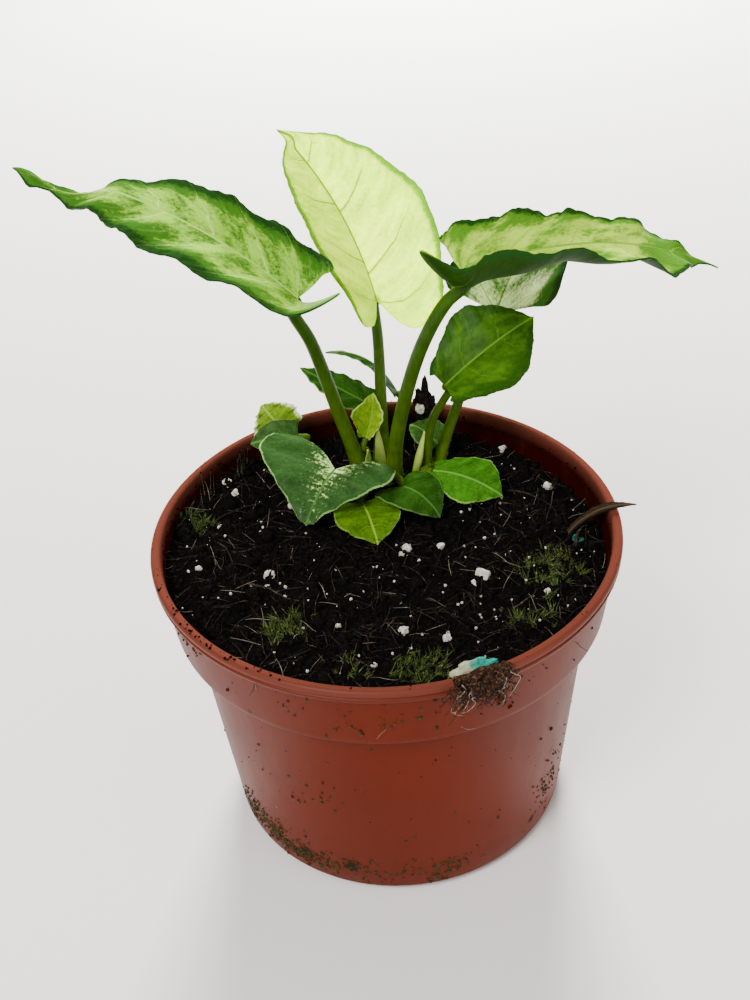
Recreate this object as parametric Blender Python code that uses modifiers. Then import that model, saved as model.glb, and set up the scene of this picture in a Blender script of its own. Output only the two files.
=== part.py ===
"""Arrowhead plant in a 12 cm nursery pot, in metres, +Z up.

The pot stands on its base at z = 0 with its axis on Z. The long left leaf points along -X and the rolled
right leaf along +X. Every size below is in millimetres or degrees and is turned to metres when a mesh is made.
"""
import math
from dataclasses import dataclass

import bmesh
import bpy
import numpy as np
from mathutils import Vector, noise

MM = 0.001
GAP = 0.3                   # air between pieces that touch on the real thing

# Pot
RIM_RADIUS = 60.0
POT_HEIGHT = 88.0
COLLAR_BOTTOM_Z = 68.0
BODY_TOP_RADIUS = 52.4
SHELF_Z = 69.3                # inner shelf over the step under the collar
BASE_RADIUS = 46.5
WALL = 1.2
FLOOR_TOP_Z = 3.4
FOOT_RING_RADIUS = 42.0
POT_SIDES = 45
DRAIN_HOLES = 8
DRAIN_HOLE_RADIUS = 3.2
DRAIN_CIRCLE_RADIUS = 28.0

# Soil
SOIL_LEVEL = 81.0
SOIL_SECTORS = 36
SOIL_RINGS = 9

# Leaves
BLADE_THICKNESS = 0.6
THICK_STALK = 1.3            # stalks and roots thinner than this have six sides, the others eight
TIP_ROOM = 3.0              # half width below which a blade flattens towards its tip
HEEL_STEP = 36              # outline points from the sinus to the outer corner of a lobe

# Colours as linear RGB, seen in plain white light
TERRACOTTA = (0.26, 0.05, 0.03)
PEAT = (0.02, 0.014, 0.01)
STALK_GREEN = (0.06, 0.13, 0.015)
PALE_GREEN = (0.30, 0.45, 0.16)
YELLOW_GREEN = (0.55, 0.68, 0.22)
MID_GREEN = (0.10, 0.26, 0.04)
DARK_GREEN = (0.05, 0.13, 0.03)
GREY_GREEN = (0.12, 0.20, 0.09)
YOUNG_GREEN = (0.38, 0.48, 0.07)
BARK_BROWN = (0.02, 0.014, 0.01)
DEAD_BROWN = (0.08, 0.06, 0.035)
MOULD_TURQUOISE = (0.25, 0.50, 0.42)


@dataclass
class Leaf:
    """One blade. Left and right are as seen from above with the tip ahead."""
    name: str
    base: tuple                     # where the stalk meets the blade
    tip: tuple                      # end of the drip tip
    width: tuple                    # half widths, left and right
    lobe: tuple = (1.0, 1.0)        # how far each basal lobe reaches back
    belly: tuple = (0.35, 0.35)     # where the blade is widest, as a share of its length
    full: tuple = (0.82, 0.82)      # width at the middle, as a share of the half width
    shoulder: float = 0.45          # width near the tip
    drip: float = 0.95              # where the drip tip starts
    drip_width: float = 0.13
    drip_bulge: float = 0.05
    foot: float = 1.0               # width at the base
    lobe_at: float = 0.62           # how far out the lobes point
    roll: float = 0.0               # turn about the line from base to tip
    arch: float = 0.0               # rise of the midrib over that line
    sway: float = 0.0               # sideways bow of the midrib
    hook: tuple = (0.0, 0.0)        # lift and side shift of the midrib near the tip
    hook_from: float = 0.8
    fold: tuple = (10, 10, 10, 10)  # slope: left at base, left at tip, right at base, right at tip
    curl: tuple = (0, 0, 0, 0)      # extra slope gained by the margin, in the same order
    lobe_lift: tuple = (0.0, 0.0)
    ruffle: tuple = (0.3, 0.3)      # height of the waves at the margin
    waves: float = 7.0
    ribs: int = 18
    steps: int = 4
    colour: tuple = MID_GREEN


LEAVES = [
    Leaf("left_leaf", (-17.6, 20.0, 143.7), (-86.6, 50.0, 169.8), (19, 14.5), lobe=(7, 1),
         belly=(0.14, 0.24), full=(0.9, 1.05), drip=0.83, drip_width=0.12, drip_bulge=0.17, arch=7,
         hook=(-4.5, 0), hook_from=0.62, fold=(22, -25, 25, -22), lobe_lift=(12, 0), ruffle=(0.8, 0.8),
         ribs=24, steps=5, colour=PALE_GREEN),
    Leaf("centre_leaf", (1.8, 48.0, 127.2), (-21.4, 72.0, 166.9), (18, 22), lobe=(6, 10),
         belly=(0.24, 0.3), shoulder=0.5, drip=0.92, lobe_at=0.45, roll=-25, arch=2, sway=3, hook=(0, 1.5),
         hook_from=0.85, fold=(55, 25, 15, 5), ruffle=(0.8, 0.8), ribs=21, steps=5, colour=YELLOW_GREEN),
    Leaf("right_leaf", (22.8, 20.0, 147.9), (89.0, 34.0, 137.0), (14, 20), lobe=(1, 10), belly=(0.2, 0.14),
         shoulder=0.7, drip=0.88, arch=7, fold=(25, 5, -25, -6), curl=(0, 0, 125, 0), lobe_lift=(0, 13),
         ruffle=(0.8, 1.2), waves=6, ribs=24, steps=5, colour=PALE_GREEN),
    Leaf("back_leaf", (34.7, 52.0, 118.6), (53.0, 82.0, 127.3), (19, 30), lobe=(0, 0), belly=(0.12, 0.12),
         drip=0.86, arch=5, fold=(55, 55, 42, 42), ruffle=(0.8, 0.8), ribs=18, steps=5, colour=PALE_GREEN),
    Leaf("middle_leaf", (18.6, 33.0, 108.1), (43.3, 41.0, 122.7), (13, 15), lobe=(0, 0), belly=(0.45, 0.4),
         full=(0.85, 0.95), shoulder=0.5, foot=0.5, roll=25, arch=2, fold=(15, 15, 15, 15), ribs=16,
         colour=MID_GREEN),
    Leaf("low_right_leaf", (14.2, 26.0, 85.6), (32.0, 15.0, 83.4), (8, 10), lobe=(0, 0), belly=(0.5, 0.5),
         full=(0.95, 0.95), shoulder=0.5, foot=0.5, arch=2, fold=(10, 10, 0, 0), ruffle=(0.2, 0.2),
         ribs=14, colour=MID_GREEN),
    Leaf("low_centre_leaf", (5.9, 18.0, 86.7), (14.6, 8.0, 83.2), (7.5, 10), lobe=(3, 3),
         belly=(0.25, 0.25), arch=2, ruffle=(0.2, 0.2), ribs=14, colour=DARK_GREEN),
    Leaf("low_left_leaf", (-12.3, 24.0, 89.6), (-20.6, 7.0, 84.3), (18, 21), lobe=(6, 6),
         belly=(0.12, 0.2), full=(0.68, 0.65), shoulder=0.3, drip=0.93, arch=2, fold=(8, 8, 18, 18),
         ruffle=(0.4, 0.4), ribs=17, colour=DARK_GREEN),
    Leaf("low_front_leaf", (-5.6, 17.0, 83.1), (-2.1, -1.0, 82.7), (8, 9), lobe=(0, 0), full=(1, 1),
         shoulder=0.6, arch=1.5, ribs=14, colour=YOUNG_GREEN),
    Leaf("young_leaf", (-3.4, 36.0, 91.3), (-0.6, 40.0, 103.2), (6, 4), lobe=(0, 0), belly=(0.4, 0.4),
         full=(0.95, 0.95), foot=0.4, arch=-1, fold=(60, 60, 10, 10), ruffle=(0.2, 0.2), ribs=12, steps=3,
         colour=YOUNG_GREEN),
    Leaf("behind_left_leaf", (-1.1, 44.0, 96.5), (-20.5, 52.0, 105.6), (6, 7), lobe=(0, 0),
         fold=(0, 0, 0, 0), ribs=14, steps=3, colour=DARK_GREEN),
    Leaf("behind_thin_leaf", (6.2, 49.0, 97.4), (-13.3, 58.0, 106.4), (3.5, 5), lobe=(0, 0),
         belly=(0.2, 0.2), arch=5, fold=(10, 10, -40, -40), ruffle=(0.2, 0.2), ribs=12, steps=3,
         colour=DARK_GREEN),
    Leaf("rim_leaf", (-22.3, 39.0, 91.2), (-35.5, 39.0, 89.9), (4.5, 5), lobe=(0, 0), belly=(0.4, 0.4),
         drip=0.97, roll=-40, arch=2, ruffle=(0.2, 0.2), ribs=12, steps=3, colour=GREY_GREEN),
    Leaf("frilled_leaf", (-26.5, 46.0, 89.2), (-32.0, 48.0, 96.8), (7, 7), lobe=(0, 0), belly=(0.4, 0.4),
         drip=0.97, roll=-60, arch=1, ruffle=(0.35, 0.35), waves=5, drip_width=0.13, ribs=16, steps=3,
         colour=YOUNG_GREEN),
    Leaf("back_low_leaf", (16.8, 42.2, 83.2), (9.4, 48.0, 86.7), (6, 6), lobe=(0, 0), belly=(0.4, 0.4),
         drip=0.97, arch=1, ruffle=(0.2, 0.2), ribs=12, steps=3, colour=GREY_GREEN),
]


def clear_scene():
    for thing in list(bpy.data.objects):
        bpy.data.objects.remove(thing, do_unlink=True)


def new_collection(name, cutters=False):
    group = bpy.data.collections.new(name)
    bpy.context.scene.collection.children.link(group)
    group.hide_render = cutters
    return group


def new_material(name, colour, roughness=0.6):
    """Plain shader with one colour and one roughness."""
    material = bpy.data.materials.new(name)
    material.use_nodes = True
    shader = material.node_tree.nodes["Principled BSDF"]
    shader.inputs["Base Color"].default_value = (*colour, 1.0)
    shader.inputs["Roughness"].default_value = roughness
    return material


def new_object(name, mesh, group, material=None):
    thing = bpy.data.objects.new(name, mesh)
    group.objects.link(thing)
    if material:
        mesh.materials.clear()
        mesh.materials.append(material)
    return thing


def mesh_from_points(name, points, faces, group, material=None):
    """Mesh object from points in millimetres."""
    mesh = bpy.data.meshes.new(name)
    mesh.from_pydata([tuple(float(v) * MM for v in point) for point in points], [], faces)
    mesh.update()
    return new_object(name, mesh, group, material)


def apply_modifiers(thing):
    """Replace a mesh by what its modifiers give."""
    graph = bpy.context.evaluated_depsgraph_get()
    graph.update()
    mesh = bpy.data.meshes.new_from_object(thing.evaluated_get(graph))
    old = thing.data
    thing.modifiers.clear()
    thing.data = mesh
    mesh.name = thing.name
    bpy.data.meshes.remove(old)


def weld(thing, distance=0.00001):
    """Merge doubled points and turn every face outward."""
    shape = bmesh.new()
    shape.from_mesh(thing.data)
    bmesh.ops.remove_doubles(shape, verts=shape.verts, dist=distance)
    bmesh.ops.dissolve_degenerate(shape, edges=shape.edges, dist=0.000002)
    bmesh.ops.recalc_face_normals(shape, faces=shape.faces)
    shape.to_mesh(thing.data)
    shape.free()


def shade(thing, angle=40.0):
    """Smooth shading with sharp edges kept."""
    thing.data.shade_smooth()
    thing.data.set_sharp_from_angle(angle=math.radians(angle))


def boolean(thing, group, operation):
    """Join or cut a whole collection in one step, then drop its objects."""
    modifier = thing.modifiers.new(operation.title(), "BOOLEAN")
    modifier.operation = operation
    modifier.operand_type = "COLLECTION"
    modifier.collection = group
    modifier.solver = "EXACT"
    apply_modifiers(thing)
    for cutter in list(group.objects):
        bpy.data.objects.remove(cutter, do_unlink=True)


def lathe(name, profile, sides, group, material=None):
    """Turn a closed outline of (radius, height) points round Z with a Screw."""
    edges = [(i, i + 1) for i in range(len(profile) - 1)]
    mesh = bpy.data.meshes.new(name)
    mesh.from_pydata([(r * MM, 0.0, z * MM) for r, z in profile], edges, [])
    thing = new_object(name, mesh, group, material)
    screw = thing.modifiers.new("Turn", "SCREW")
    screw.steps = sides
    screw.render_steps = sides
    screw.use_merge_vertices = True
    screw.merge_threshold = 0.00001
    apply_modifiers(thing)
    if material:
        thing.data.materials.clear()
        thing.data.materials.append(material)
    weld(thing)
    return thing


def smooth_path(points, count, spacing=0.0):
    """Catmull-Rom curve through points, with count steps in each span.

    With spacing 0.5 the spans are timed by their lengths, so that short and long ones can follow each other.
    """
    points = np.array(points, float)
    padded = np.vstack([2 * points[0] - points[1], points, 2 * points[-1] - points[-2]])
    spans = np.linalg.norm(np.diff(padded, axis=0), axis=1) ** spacing
    slopes = np.diff(padded, axis=0) / spans[:, None]
    shares = (spans[:-1] / (spans[:-1] + spans[1:]))[:, None]
    tangents = slopes[:-1] * (1 - shares) + slopes[1:] * shares
    path = []
    for i in range(len(points) - 1):
        h = spans[i + 1]
        for t in np.linspace(0, 1, count, endpoint=False):
            blend = 3 * t ** 2 - 2 * t ** 3
            leave = (t ** 3 - 2 * t ** 2 + t) * h * tangents[i]
            arrive = (t ** 3 - t ** 2) * h * tangents[i + 1]
            path.append((1 - blend) * points[i] + blend * points[i + 1] + leave + arrive)
    path.append(points[-1])
    return np.array(path)


def tube(name, path, radii, group, material=None):
    """Capped tube along a path in millimetres, made with a bevelled curve."""
    curve = bpy.data.curves.new(name, "CURVE")
    curve.dimensions = "3D"
    curve.bevel_depth = MM
    curve.bevel_resolution = 2 if max(radii) > THICK_STALK else 1
    curve.use_fill_caps = True
    spline = curve.splines.new("POLY")
    spline.points.add(len(path) - 1)
    for point, place, radius in zip(spline.points, path, radii):
        point.co = (*(float(v) * MM for v in place), 1.0)
        point.radius = float(radius)
    holder = bpy.data.objects.new(name, curve)
    group.objects.link(holder)
    graph = bpy.context.evaluated_depsgraph_get()
    graph.update()
    mesh = bpy.data.meshes.new_from_object(holder.evaluated_get(graph))
    bpy.data.objects.remove(holder, do_unlink=True)
    thing = new_object(name, mesh, group, material)
    weld(thing)
    return thing


def normalised(vectors):
    return vectors / np.linalg.norm(vectors, axis=-1, keepdims=True)


def blade_outline(leaf, side):
    """Half outline as (across, along) points, from the sinus round the lobe to the tip."""
    width, lobe = leaf.width[side], leaf.lobe[side]
    length = blade_length(leaf)
    belly, drip, foot = leaf.belly[side], leaf.drip, leaf.foot
    outline = [
        (0, 0),
        (0.5 * leaf.lobe_at * width * foot, -0.8 * lobe),
        (leaf.lobe_at * width * foot, -lobe),
        ((0.4 + 0.8 * leaf.lobe_at) * width * foot, -0.5 * lobe),
        (width, belly * length),
        (leaf.full[side] * width, (belly + 0.42 * (drip - belly)) * length),
        (leaf.shoulder * width, (belly + 0.78 * (drip - belly)) * length),
        (leaf.drip_width * width, drip * length),
        (leaf.drip_bulge * width, 0.5 * (1 + drip) * length),
        (0, length),
    ]
    return smooth_path(outline, 12)


def blade_length(leaf):
    return 1.02 * float(np.linalg.norm(np.array(leaf.tip) - np.array(leaf.base)))


def blade_frames(leaf, along):
    """Point, direction, normal and right-hand side of the midrib at distances along it."""
    base, tip = np.array(leaf.base, float), np.array(leaf.tip, float)
    chord = float(np.linalg.norm(tip - base))
    ahead = (tip - base) / chord
    normal = normalised(np.array([0, 0, 1.0]) - ahead * ahead[2])
    side = np.cross(ahead, normal)
    turn = math.radians(leaf.roll)
    normal, side = (normal * math.cos(turn) + side * math.sin(turn),
                    side * math.cos(turn) - normal * math.sin(turn))
    share = np.clip(along / blade_length(leaf), 0, 1)[:, None]
    bow = normal * leaf.arch + side * leaf.sway
    near_tip = np.clip((share - leaf.hook_from) / (1 - leaf.hook_from), 0, 1)
    points = base + ahead * chord * share + bow * 4 * share * (1 - share)
    points = points + (normal * leaf.hook[0] + side * leaf.hook[1]) * np.sin(math.pi * near_tip) ** 2
    direction = normalised(ahead * chord + bow * 4 * (1 - 2 * share))
    points = points + direction * np.minimum(along, 0)[:, None]
    normals = normalised(normal - direction * (direction @ normal)[:, None])
    return points, direction, normals, np.cross(direction, normals), share[:, 0]


def bend_blade(leaf, side, across, along, lap, out, room):
    """Flat half blade bent to its place.

    lap runs round the margin and out from midrib to margin, both 0 to 1. room is how far the margin is
    from the midrib there: the fold and the waves die out where the blade narrows to its tip.
    """
    points, _, normals, sides, share = blade_frames(leaf, along)
    width = leaf.width[side]
    fold_base, fold_tip = leaf.fold[2 * side:2 * side + 2]
    curl_base, curl_tip = leaf.curl[2 * side:2 * side + 2]
    narrow = np.clip(room / TIP_ROOM, 0, 1)
    fold = np.radians(fold_base + (fold_tip - fold_base) * share) * narrow
    curl = np.radians(curl_base + (curl_tip - curl_base) * share) / width + 1e-5
    level = (np.sin(fold + curl * across) - np.sin(fold)) / curl
    rise = (np.cos(fold) - np.cos(fold + curl * across)) / curl
    wave = np.sin(2 * math.pi * leaf.waves * lap + 1.3 * side)
    rise = rise + narrow * leaf.ruffle[side] * out ** 1.5 * wave
    if leaf.lobe[side]:
        rise = rise + leaf.lobe_lift[side] * (np.minimum(along, 0) / leaf.lobe[side]) ** 2
    outward = 1.0 if side else -1.0
    return points + sides * (outward * level)[:, None] + normals * rise[:, None]


def blade_grid(leaf, ribs, steps):
    """Both halves as grids of points with one shared midrib."""
    length = blade_length(leaf)
    corners, margins, heels = [], [], []
    for side in (0, 1):
        outline = blade_outline(leaf, side)
        run = np.concatenate([[0], np.cumsum(np.linalg.norm(np.diff(outline, axis=0), axis=1))])
        run /= run[-1]
        corner = run[HEEL_STEP]
        laps = corner + (1 - corner) * np.linspace(0, 1, ribs + 1)
        margins.append(np.stack([np.interp(laps, run, outline[:, k]) for k in (0, 1)], axis=1))
        outs = np.linspace(0, 1, steps + 1)
        heel = np.stack([np.interp(outs * corner, run, outline[:, k]) for k in (0, 1)], axis=1)
        heels.append(heel - outs[:, None] * heel[-1])
        corners.append(laps)
    reach = 0.5 * (margins[0][:, 1] + margins[1][:, 1])
    start = np.clip((reach - 0.16 * length) / (0.84 * length), 0, 1) * length
    start = np.maximum.accumulate(start)
    fade = np.clip(1 - np.linspace(0, 1, ribs + 1) / 0.25, 0, 1) ** 2
    grids = []
    for side in (0, 1):
        edge = margins[side]
        across = edge[:, :1] * outs + heels[side][None, :, 0] * fade[:, None]
        along = start[:, None] * (1 - outs) + edge[:, 1:] * outs + heels[side][None, :, 1] * fade[:, None]
        lap = np.repeat(corners[side][:, None], steps + 1, axis=1)
        out = np.repeat(outs[None], ribs + 1, axis=0)
        room = np.repeat(np.abs(edge[:, :1]), steps + 1, axis=1)
        place = bend_blade(leaf, side, across.ravel(), along.ravel(), lap.ravel(), out.ravel(), room.ravel())
        grids.append(place.reshape(ribs + 1, steps + 1, 3))
    return grids


def make_blade(leaf, group):
    """Thin curved blade, split into triangles before it is given its thickness."""
    points, faces = [], []
    for side, grid in enumerate(blade_grid(leaf, leaf.ribs, leaf.steps)):
        first = len(points)
        rows, columns = grid.shape[:2]
        points.extend(grid.reshape(-1, 3))
        for i in range(rows - 1):
            for j in range(columns - 1):
                a = first + i * columns + j
                quad = (a, a + 1, a + columns + 1, a + columns)
                faces.append(quad if side == 0 else quad[::-1])
    material = new_material(leaf.name, leaf.colour, 0.45)
    blade = mesh_from_points(leaf.name, points, faces, group, material)
    weld(blade, 0.00005)
    split = blade.modifiers.new("Split", "TRIANGULATE")
    split.quad_method = "FIXED"
    thick = blade.modifiers.new("Thickness", "SOLIDIFY")
    thick.thickness = BLADE_THICKNESS * MM
    thick.offset = 0.0
    apply_modifiers(blade)
    weld(blade, 0.000002)
    shade(blade, 60)
    return blade


# Crowns: centre on the soil, radius, stretch along X, bottom height
CROWNS = {
    "main_stems": ((0.0, 34.0), 6.3, 1.2, 64.0),
    "right_stems": ((14.8, 36.0), 4.0, 1.05, 66.0),
    "rim_stems": ((-22.0, 42.5), 2.6, 1.1, 70.0),
}
CROWN_TOP_Z = 81.8

# Stalks: crown, leaf it carries, radius at foot and top, whether it runs on into the midrib, points going up
STALKS = [
    ("main_stems", "left_leaf", 2.1, 1.4, False,
     [(-4.0, 34.0, 72.0), (-5.3, 34.2, 81.0), (-10.9, 30.0, 107.0), (-15.5, 24.6, 129.0)]),
    ("main_stems", "centre_leaf", 1.8, 1.3, False,
     [(1.0, 37.0, 72.0), (1.0, 38.2, 81.0), (1.5, 42.8, 99.0), (1.7, 48.6, 115.5)]),
    ("main_stems", "right_leaf", 2.1, 1.5, False,
     [(3.2, 32.4, 72.0), (3.6, 31.7, 81.0), (5.4, 27.4, 99.1), (11.9, 23.0, 125.5), (18.6, 21.0, 139.4)]),
    ("main_stems", "low_left_leaf", 1.1, 0.9, False,
     [(-3.5, 33.0, 75.0), (-5.0, 32.0, 82.5), (-8.5, 29.0, 85.5)]),
    ("main_stems", "low_centre_leaf", 1.0, 0.8, False,
     [(3.0, 31.5, 75.0), (3.6, 29.8, 82.0), (5.0, 24.0, 84.6)]),
    ("main_stems", "low_front_leaf", 1.0, 0.8, True,
     [(-1.5, 31.0, 75.0), (-2.2, 29.4, 81.8), (-4.4, 22.5, 83.2)]),
    ("main_stems", "young_leaf", 0.9, 0.7, True,
     [(-2.4, 36.0, 75.0), (-3.0, 36.2, 82.0), (-3.5, 36.1, 87.0)]),
    ("main_stems", "behind_left_leaf", 1.0, 0.8, True,
     [(-1.0, 37.0, 75.0), (-0.8, 38.0, 82.0), (0.6, 42.6, 92.0)]),
    ("main_stems", "behind_thin_leaf", 1.0, 0.8, True,
     [(2.6, 37.0, 75.0), (3.4, 38.2, 82.0), (6.2, 45.0, 91.0)]),
    ("right_stems", "back_leaf", 1.5, 1.1, False,
     [(16.0, 37.0, 73.0), (16.8, 37.6, 81.0), (23.6, 44.0, 97.5), (29.6, 49.6, 108.5)]),
    ("right_stems", "middle_leaf", 1.3, 1.0, False,
     [(13.2, 35.4, 73.0), (13.0, 34.9, 81.0), (14.9, 33.6, 97.0)]),
    ("right_stems", "low_right_leaf", 0.9, 0.7, True,
     [(14.2, 35.0, 75.0), (13.8, 33.4, 81.8), (12.6, 28.6, 84.8)]),
    ("right_stems", "back_low_leaf", 0.9, 0.7, True,
     [(15.8, 37.0, 75.0), (16.2, 37.8, 81.8)]),
    ("rim_stems", "rim_leaf", 0.8, 0.7, True,
     [(-21.4, 42.0, 75.0), (-21.0, 41.4, 83.5), (-20.6, 39.8, 89.0)]),
    ("rim_stems", "frilled_leaf", 0.8, 0.7, True,
     [(-22.8, 43.2, 75.0), (-23.4, 43.8, 83.0)]),
]

# Roots: crown, start and end of each
ROOTS = [
    ("main_stems", (-4.0, 33.0, 67.0), (-16.0, 22.0, 36.0)),
    ("main_stems", (-1.0, 31.0, 67.0), (-4.0, 8.0, 28.0)),
    ("main_stems", (4.0, 32.0, 67.0), (7.0, 16.0, 32.0)),
    ("right_stems", (16.5, 35.0, 69.0), (24.0, 20.0, 38.0)),
    ("right_stems", (14.8, 37.0, 69.0), (17.0, 32.0, 34.0)),
    ("rim_stems", (-22.0, 42.5, 72.0), (-24.0, 33.0, 48.0)),
]
ROOT_RADII = (1.2, 0.6)

# Lumps of peat and perlite pressed into the top of the soil: place and radius
SOIL_LUMPS = [
    (23.3, -16.5, 2.0), (-42.4, 30.0, 1.6), (-29.7, -11.6, 1.7), (5.2, -2.6, 1.5), (13.9, -2.7, 1.3),
    (2.4, -35.0, 1.6), (12.5, -38.1, 1.4), (34.8, 41.0, 1.7), (45.0, 22.0, 1.6), (-38.0, -20.0, 2.0),
    (38.0, -14.0, 2.2), (-14.0, -40.0, 2.0), (-20.0, -24.0, 2.2), (30.0, 8.0, 1.8),
]


def soil_height(x, y):
    """Top of the soil: higher at the left and front, with uneven mounds away from the crowns."""
    level = SOIL_LEVEL - 0.025 * y - 0.026 * x
    mounds = 1.5 * noise.noise(Vector((x * 0.055, y * 0.055, 3.7)))
    mounds += 0.8 * noise.noise(Vector((x * 0.14, y * 0.14, 8.1)))
    nearest = min(math.hypot(x - crown[0][0], y - crown[0][1]) - crown[1] for crown in CROWNS.values())
    calm = min(max(nearest / 9.0, 0.0), 1.0)
    return level + mounds * calm


def inner_radius(z):
    """Inside of the pot wall at a height."""
    if z >= SHELF_Z:
        return 55.3 + (57.4 - 55.3) * (z - SHELF_Z - 1.0) / (86.9 - SHELF_Z - 1.0)
    return BASE_RADIUS - WALL + (BODY_TOP_RADIUS - BASE_RADIUS) * (z - 4.4) / (68.4 - 4.4)


def make_pot(group):
    """Lathed wall, collar, lip and foot, with round drain holes."""
    profile = [
        (0, 0), (14, 0), (16, 2), (FOOT_RING_RADIUS - 3, 2), (FOOT_RING_RADIUS - 1, 0),
        (FOOT_RING_RADIUS + 1, 0), (FOOT_RING_RADIUS + 2, 1.6), (BASE_RADIUS - 0.9, 1.9), (BASE_RADIUS, 3.4),
        (BODY_TOP_RADIUS, COLLAR_BOTTOM_Z - 1.0), (BODY_TOP_RADIUS + 0.8, COLLAR_BOTTOM_Z - 0.2),
        (56.0, COLLAR_BOTTOM_Z), (56.6, COLLAR_BOTTOM_Z + 0.8), (58.5, 83.6), (59.7, 84.6),
        (RIM_RADIUS, 85.6), (RIM_RADIUS, 87.5), (59.4, POT_HEIGHT), (58.2, POT_HEIGHT), (57.4, 86.9),
        (55.3, SHELF_Z + 1.0), (54.6, SHELF_Z + 0.3), (51.5, SHELF_Z), (BODY_TOP_RADIUS - WALL, 68.4),
        (BASE_RADIUS - WALL, FLOOR_TOP_Z + 1.0), (BASE_RADIUS - 2.4, FLOOR_TOP_Z), (16, FLOOR_TOP_Z),
        (13.5, 1.4), (0, 1.4),
    ]
    pot = lathe("pot", profile, POT_SIDES, group, new_material("pot", TERRACOTTA, 0.4))
    holes = new_collection("drain_cutters", cutters=True)
    for i in range(DRAIN_HOLES):
        angle = 2 * math.pi * (i + 0.5) / DRAIN_HOLES
        place = Vector((math.cos(angle), math.sin(angle), 0)) * DRAIN_CIRCLE_RADIUS * MM
        bpy.ops.mesh.primitive_cylinder_add(vertices=12, radius=DRAIN_HOLE_RADIUS * MM, depth=15 * MM,
                                            location=place)
        hole = bpy.context.object
        hole.display_type = "WIRE"
        for owner in list(hole.users_collection):
            owner.objects.unlink(hole)
        holes.objects.link(hole)
    boolean(pot, holes, "DIFFERENCE")
    bpy.data.collections.remove(holes)
    weld(pot)
    shade(pot, 35)
    return pot


def make_crown(name, group, clearance=0.0):
    """Short swollen stem under the stalks. With a clearance it is the open well that the soil has for it."""
    (x, y), radius, stretch, bottom = CROWNS[name]
    r = radius + clearance
    low = bottom - clearance
    profile = [(0, low), (0.55 * r, low + 0.4), (0.92 * r, low + 3.0), (r, low + 7.0)]
    if clearance:
        profile += [(r, 96.0), (0, 96.0)]
    else:
        profile += [(r, CROWN_TOP_Z - 2.0), (0.86 * r, CROWN_TOP_Z - 0.6), (0.6 * r, CROWN_TOP_Z)]
        profile.append((0, CROWN_TOP_Z))
    crown = lathe(name, profile, 14, group)
    for vertex in crown.data.vertices:
        vertex.co.x = vertex.co.x * stretch + x * MM
        vertex.co.y += y * MM
    return crown


def make_root(name, start, end, group, clearance=0.0):
    start, end = np.array(start), np.array(end)
    end = end + (end - start) / np.linalg.norm(end - start) * clearance
    bend = np.array([1.5, 2.0, 0.0])
    path = [start, start + (end - start) * 0.35 - bend, start + (end - start) * 0.7 + bend * 0.4, end]
    radii = np.linspace(ROOT_RADII[0], ROOT_RADII[1], len(path)) + clearance
    return tube(name, path, radii, group)


def stalk_path(leaf, points, top_radius, in_line):
    """Stalk points, the last ones turned to meet the blade from below or in line with its midrib."""
    place, ahead, normal, _, _ = (value[0] for value in blade_frames(leaf, np.array([0.0])))
    reach = max(2.6, 2.0 * top_radius)
    if in_line:
        drop = GAP + 0.1
        return smooth_path(points + [place - ahead * (drop + reach), place - ahead * drop], 3, 0.5)
    droop = max(0.0, math.sin(math.radians(max(-leaf.fold[0], -leaf.fold[2]))))
    drop = GAP + 0.5 * BLADE_THICKNESS + 0.1 + top_radius * droop
    return smooth_path(points + [place - normal * (drop + reach), place - normal * drop], 3, 0.5)


def make_stems(name, group):
    """Crown, stalks and roots of one plantlet joined into one solid."""
    stems = make_crown(name, group)
    pieces = new_collection(name + "_pieces", cutters=True)
    by_name = {leaf.name: leaf for leaf in LEAVES}
    for crown, leaf_name, foot_radius, top_radius, in_line, points in STALKS:
        if crown != name:
            continue
        path = stalk_path(by_name[leaf_name], points, top_radius, in_line)
        share = np.linspace(0, 1, len(path))
        tube(leaf_name + "_stalk", path, foot_radius + (top_radius - foot_radius) * share, pieces)
    for crown, start, end in ROOTS:
        if crown == name:
            make_root(name + "_root", start, end, pieces)
    boolean(stems, pieces, "UNION")
    bpy.data.collections.remove(pieces)
    weld(stems)
    stems.data.materials.clear()
    stems.data.materials.append(new_material(name, STALK_GREEN, 0.45))
    shade(stems, 50)
    return stems


ROLLED_LEAF_PATH = [(9.3, 31.2, 72.0), (9.6, 31.6, 80.0), (10.9, 32.2, 86.5), (12.6, 32.6, 94.2)]
ROLLED_LEAF_RADII = (1.0, 1.15, 1.1, 0.25)
ROLLED_LEAF_HOLE = [(9.3, 31.2, 72.0 - GAP), (9.45, 31.4, 76.0), (9.6, 31.6, 80.0), (9.9, 31.9, 90.0)]


def rolled_leaf_tube(name, group, clearance=0.0, material=None):
    path = smooth_path(ROLLED_LEAF_PATH, 4)
    radii = np.interp(np.linspace(0, 1, len(path)), np.linspace(0, 1, 4), ROLLED_LEAF_RADII) + clearance
    if clearance:
        path = smooth_path(ROLLED_LEAF_HOLE, 2)
        radii = np.full(len(path), max(ROLLED_LEAF_RADII) + clearance)
    return tube(name, path, radii, group, material)


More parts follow.
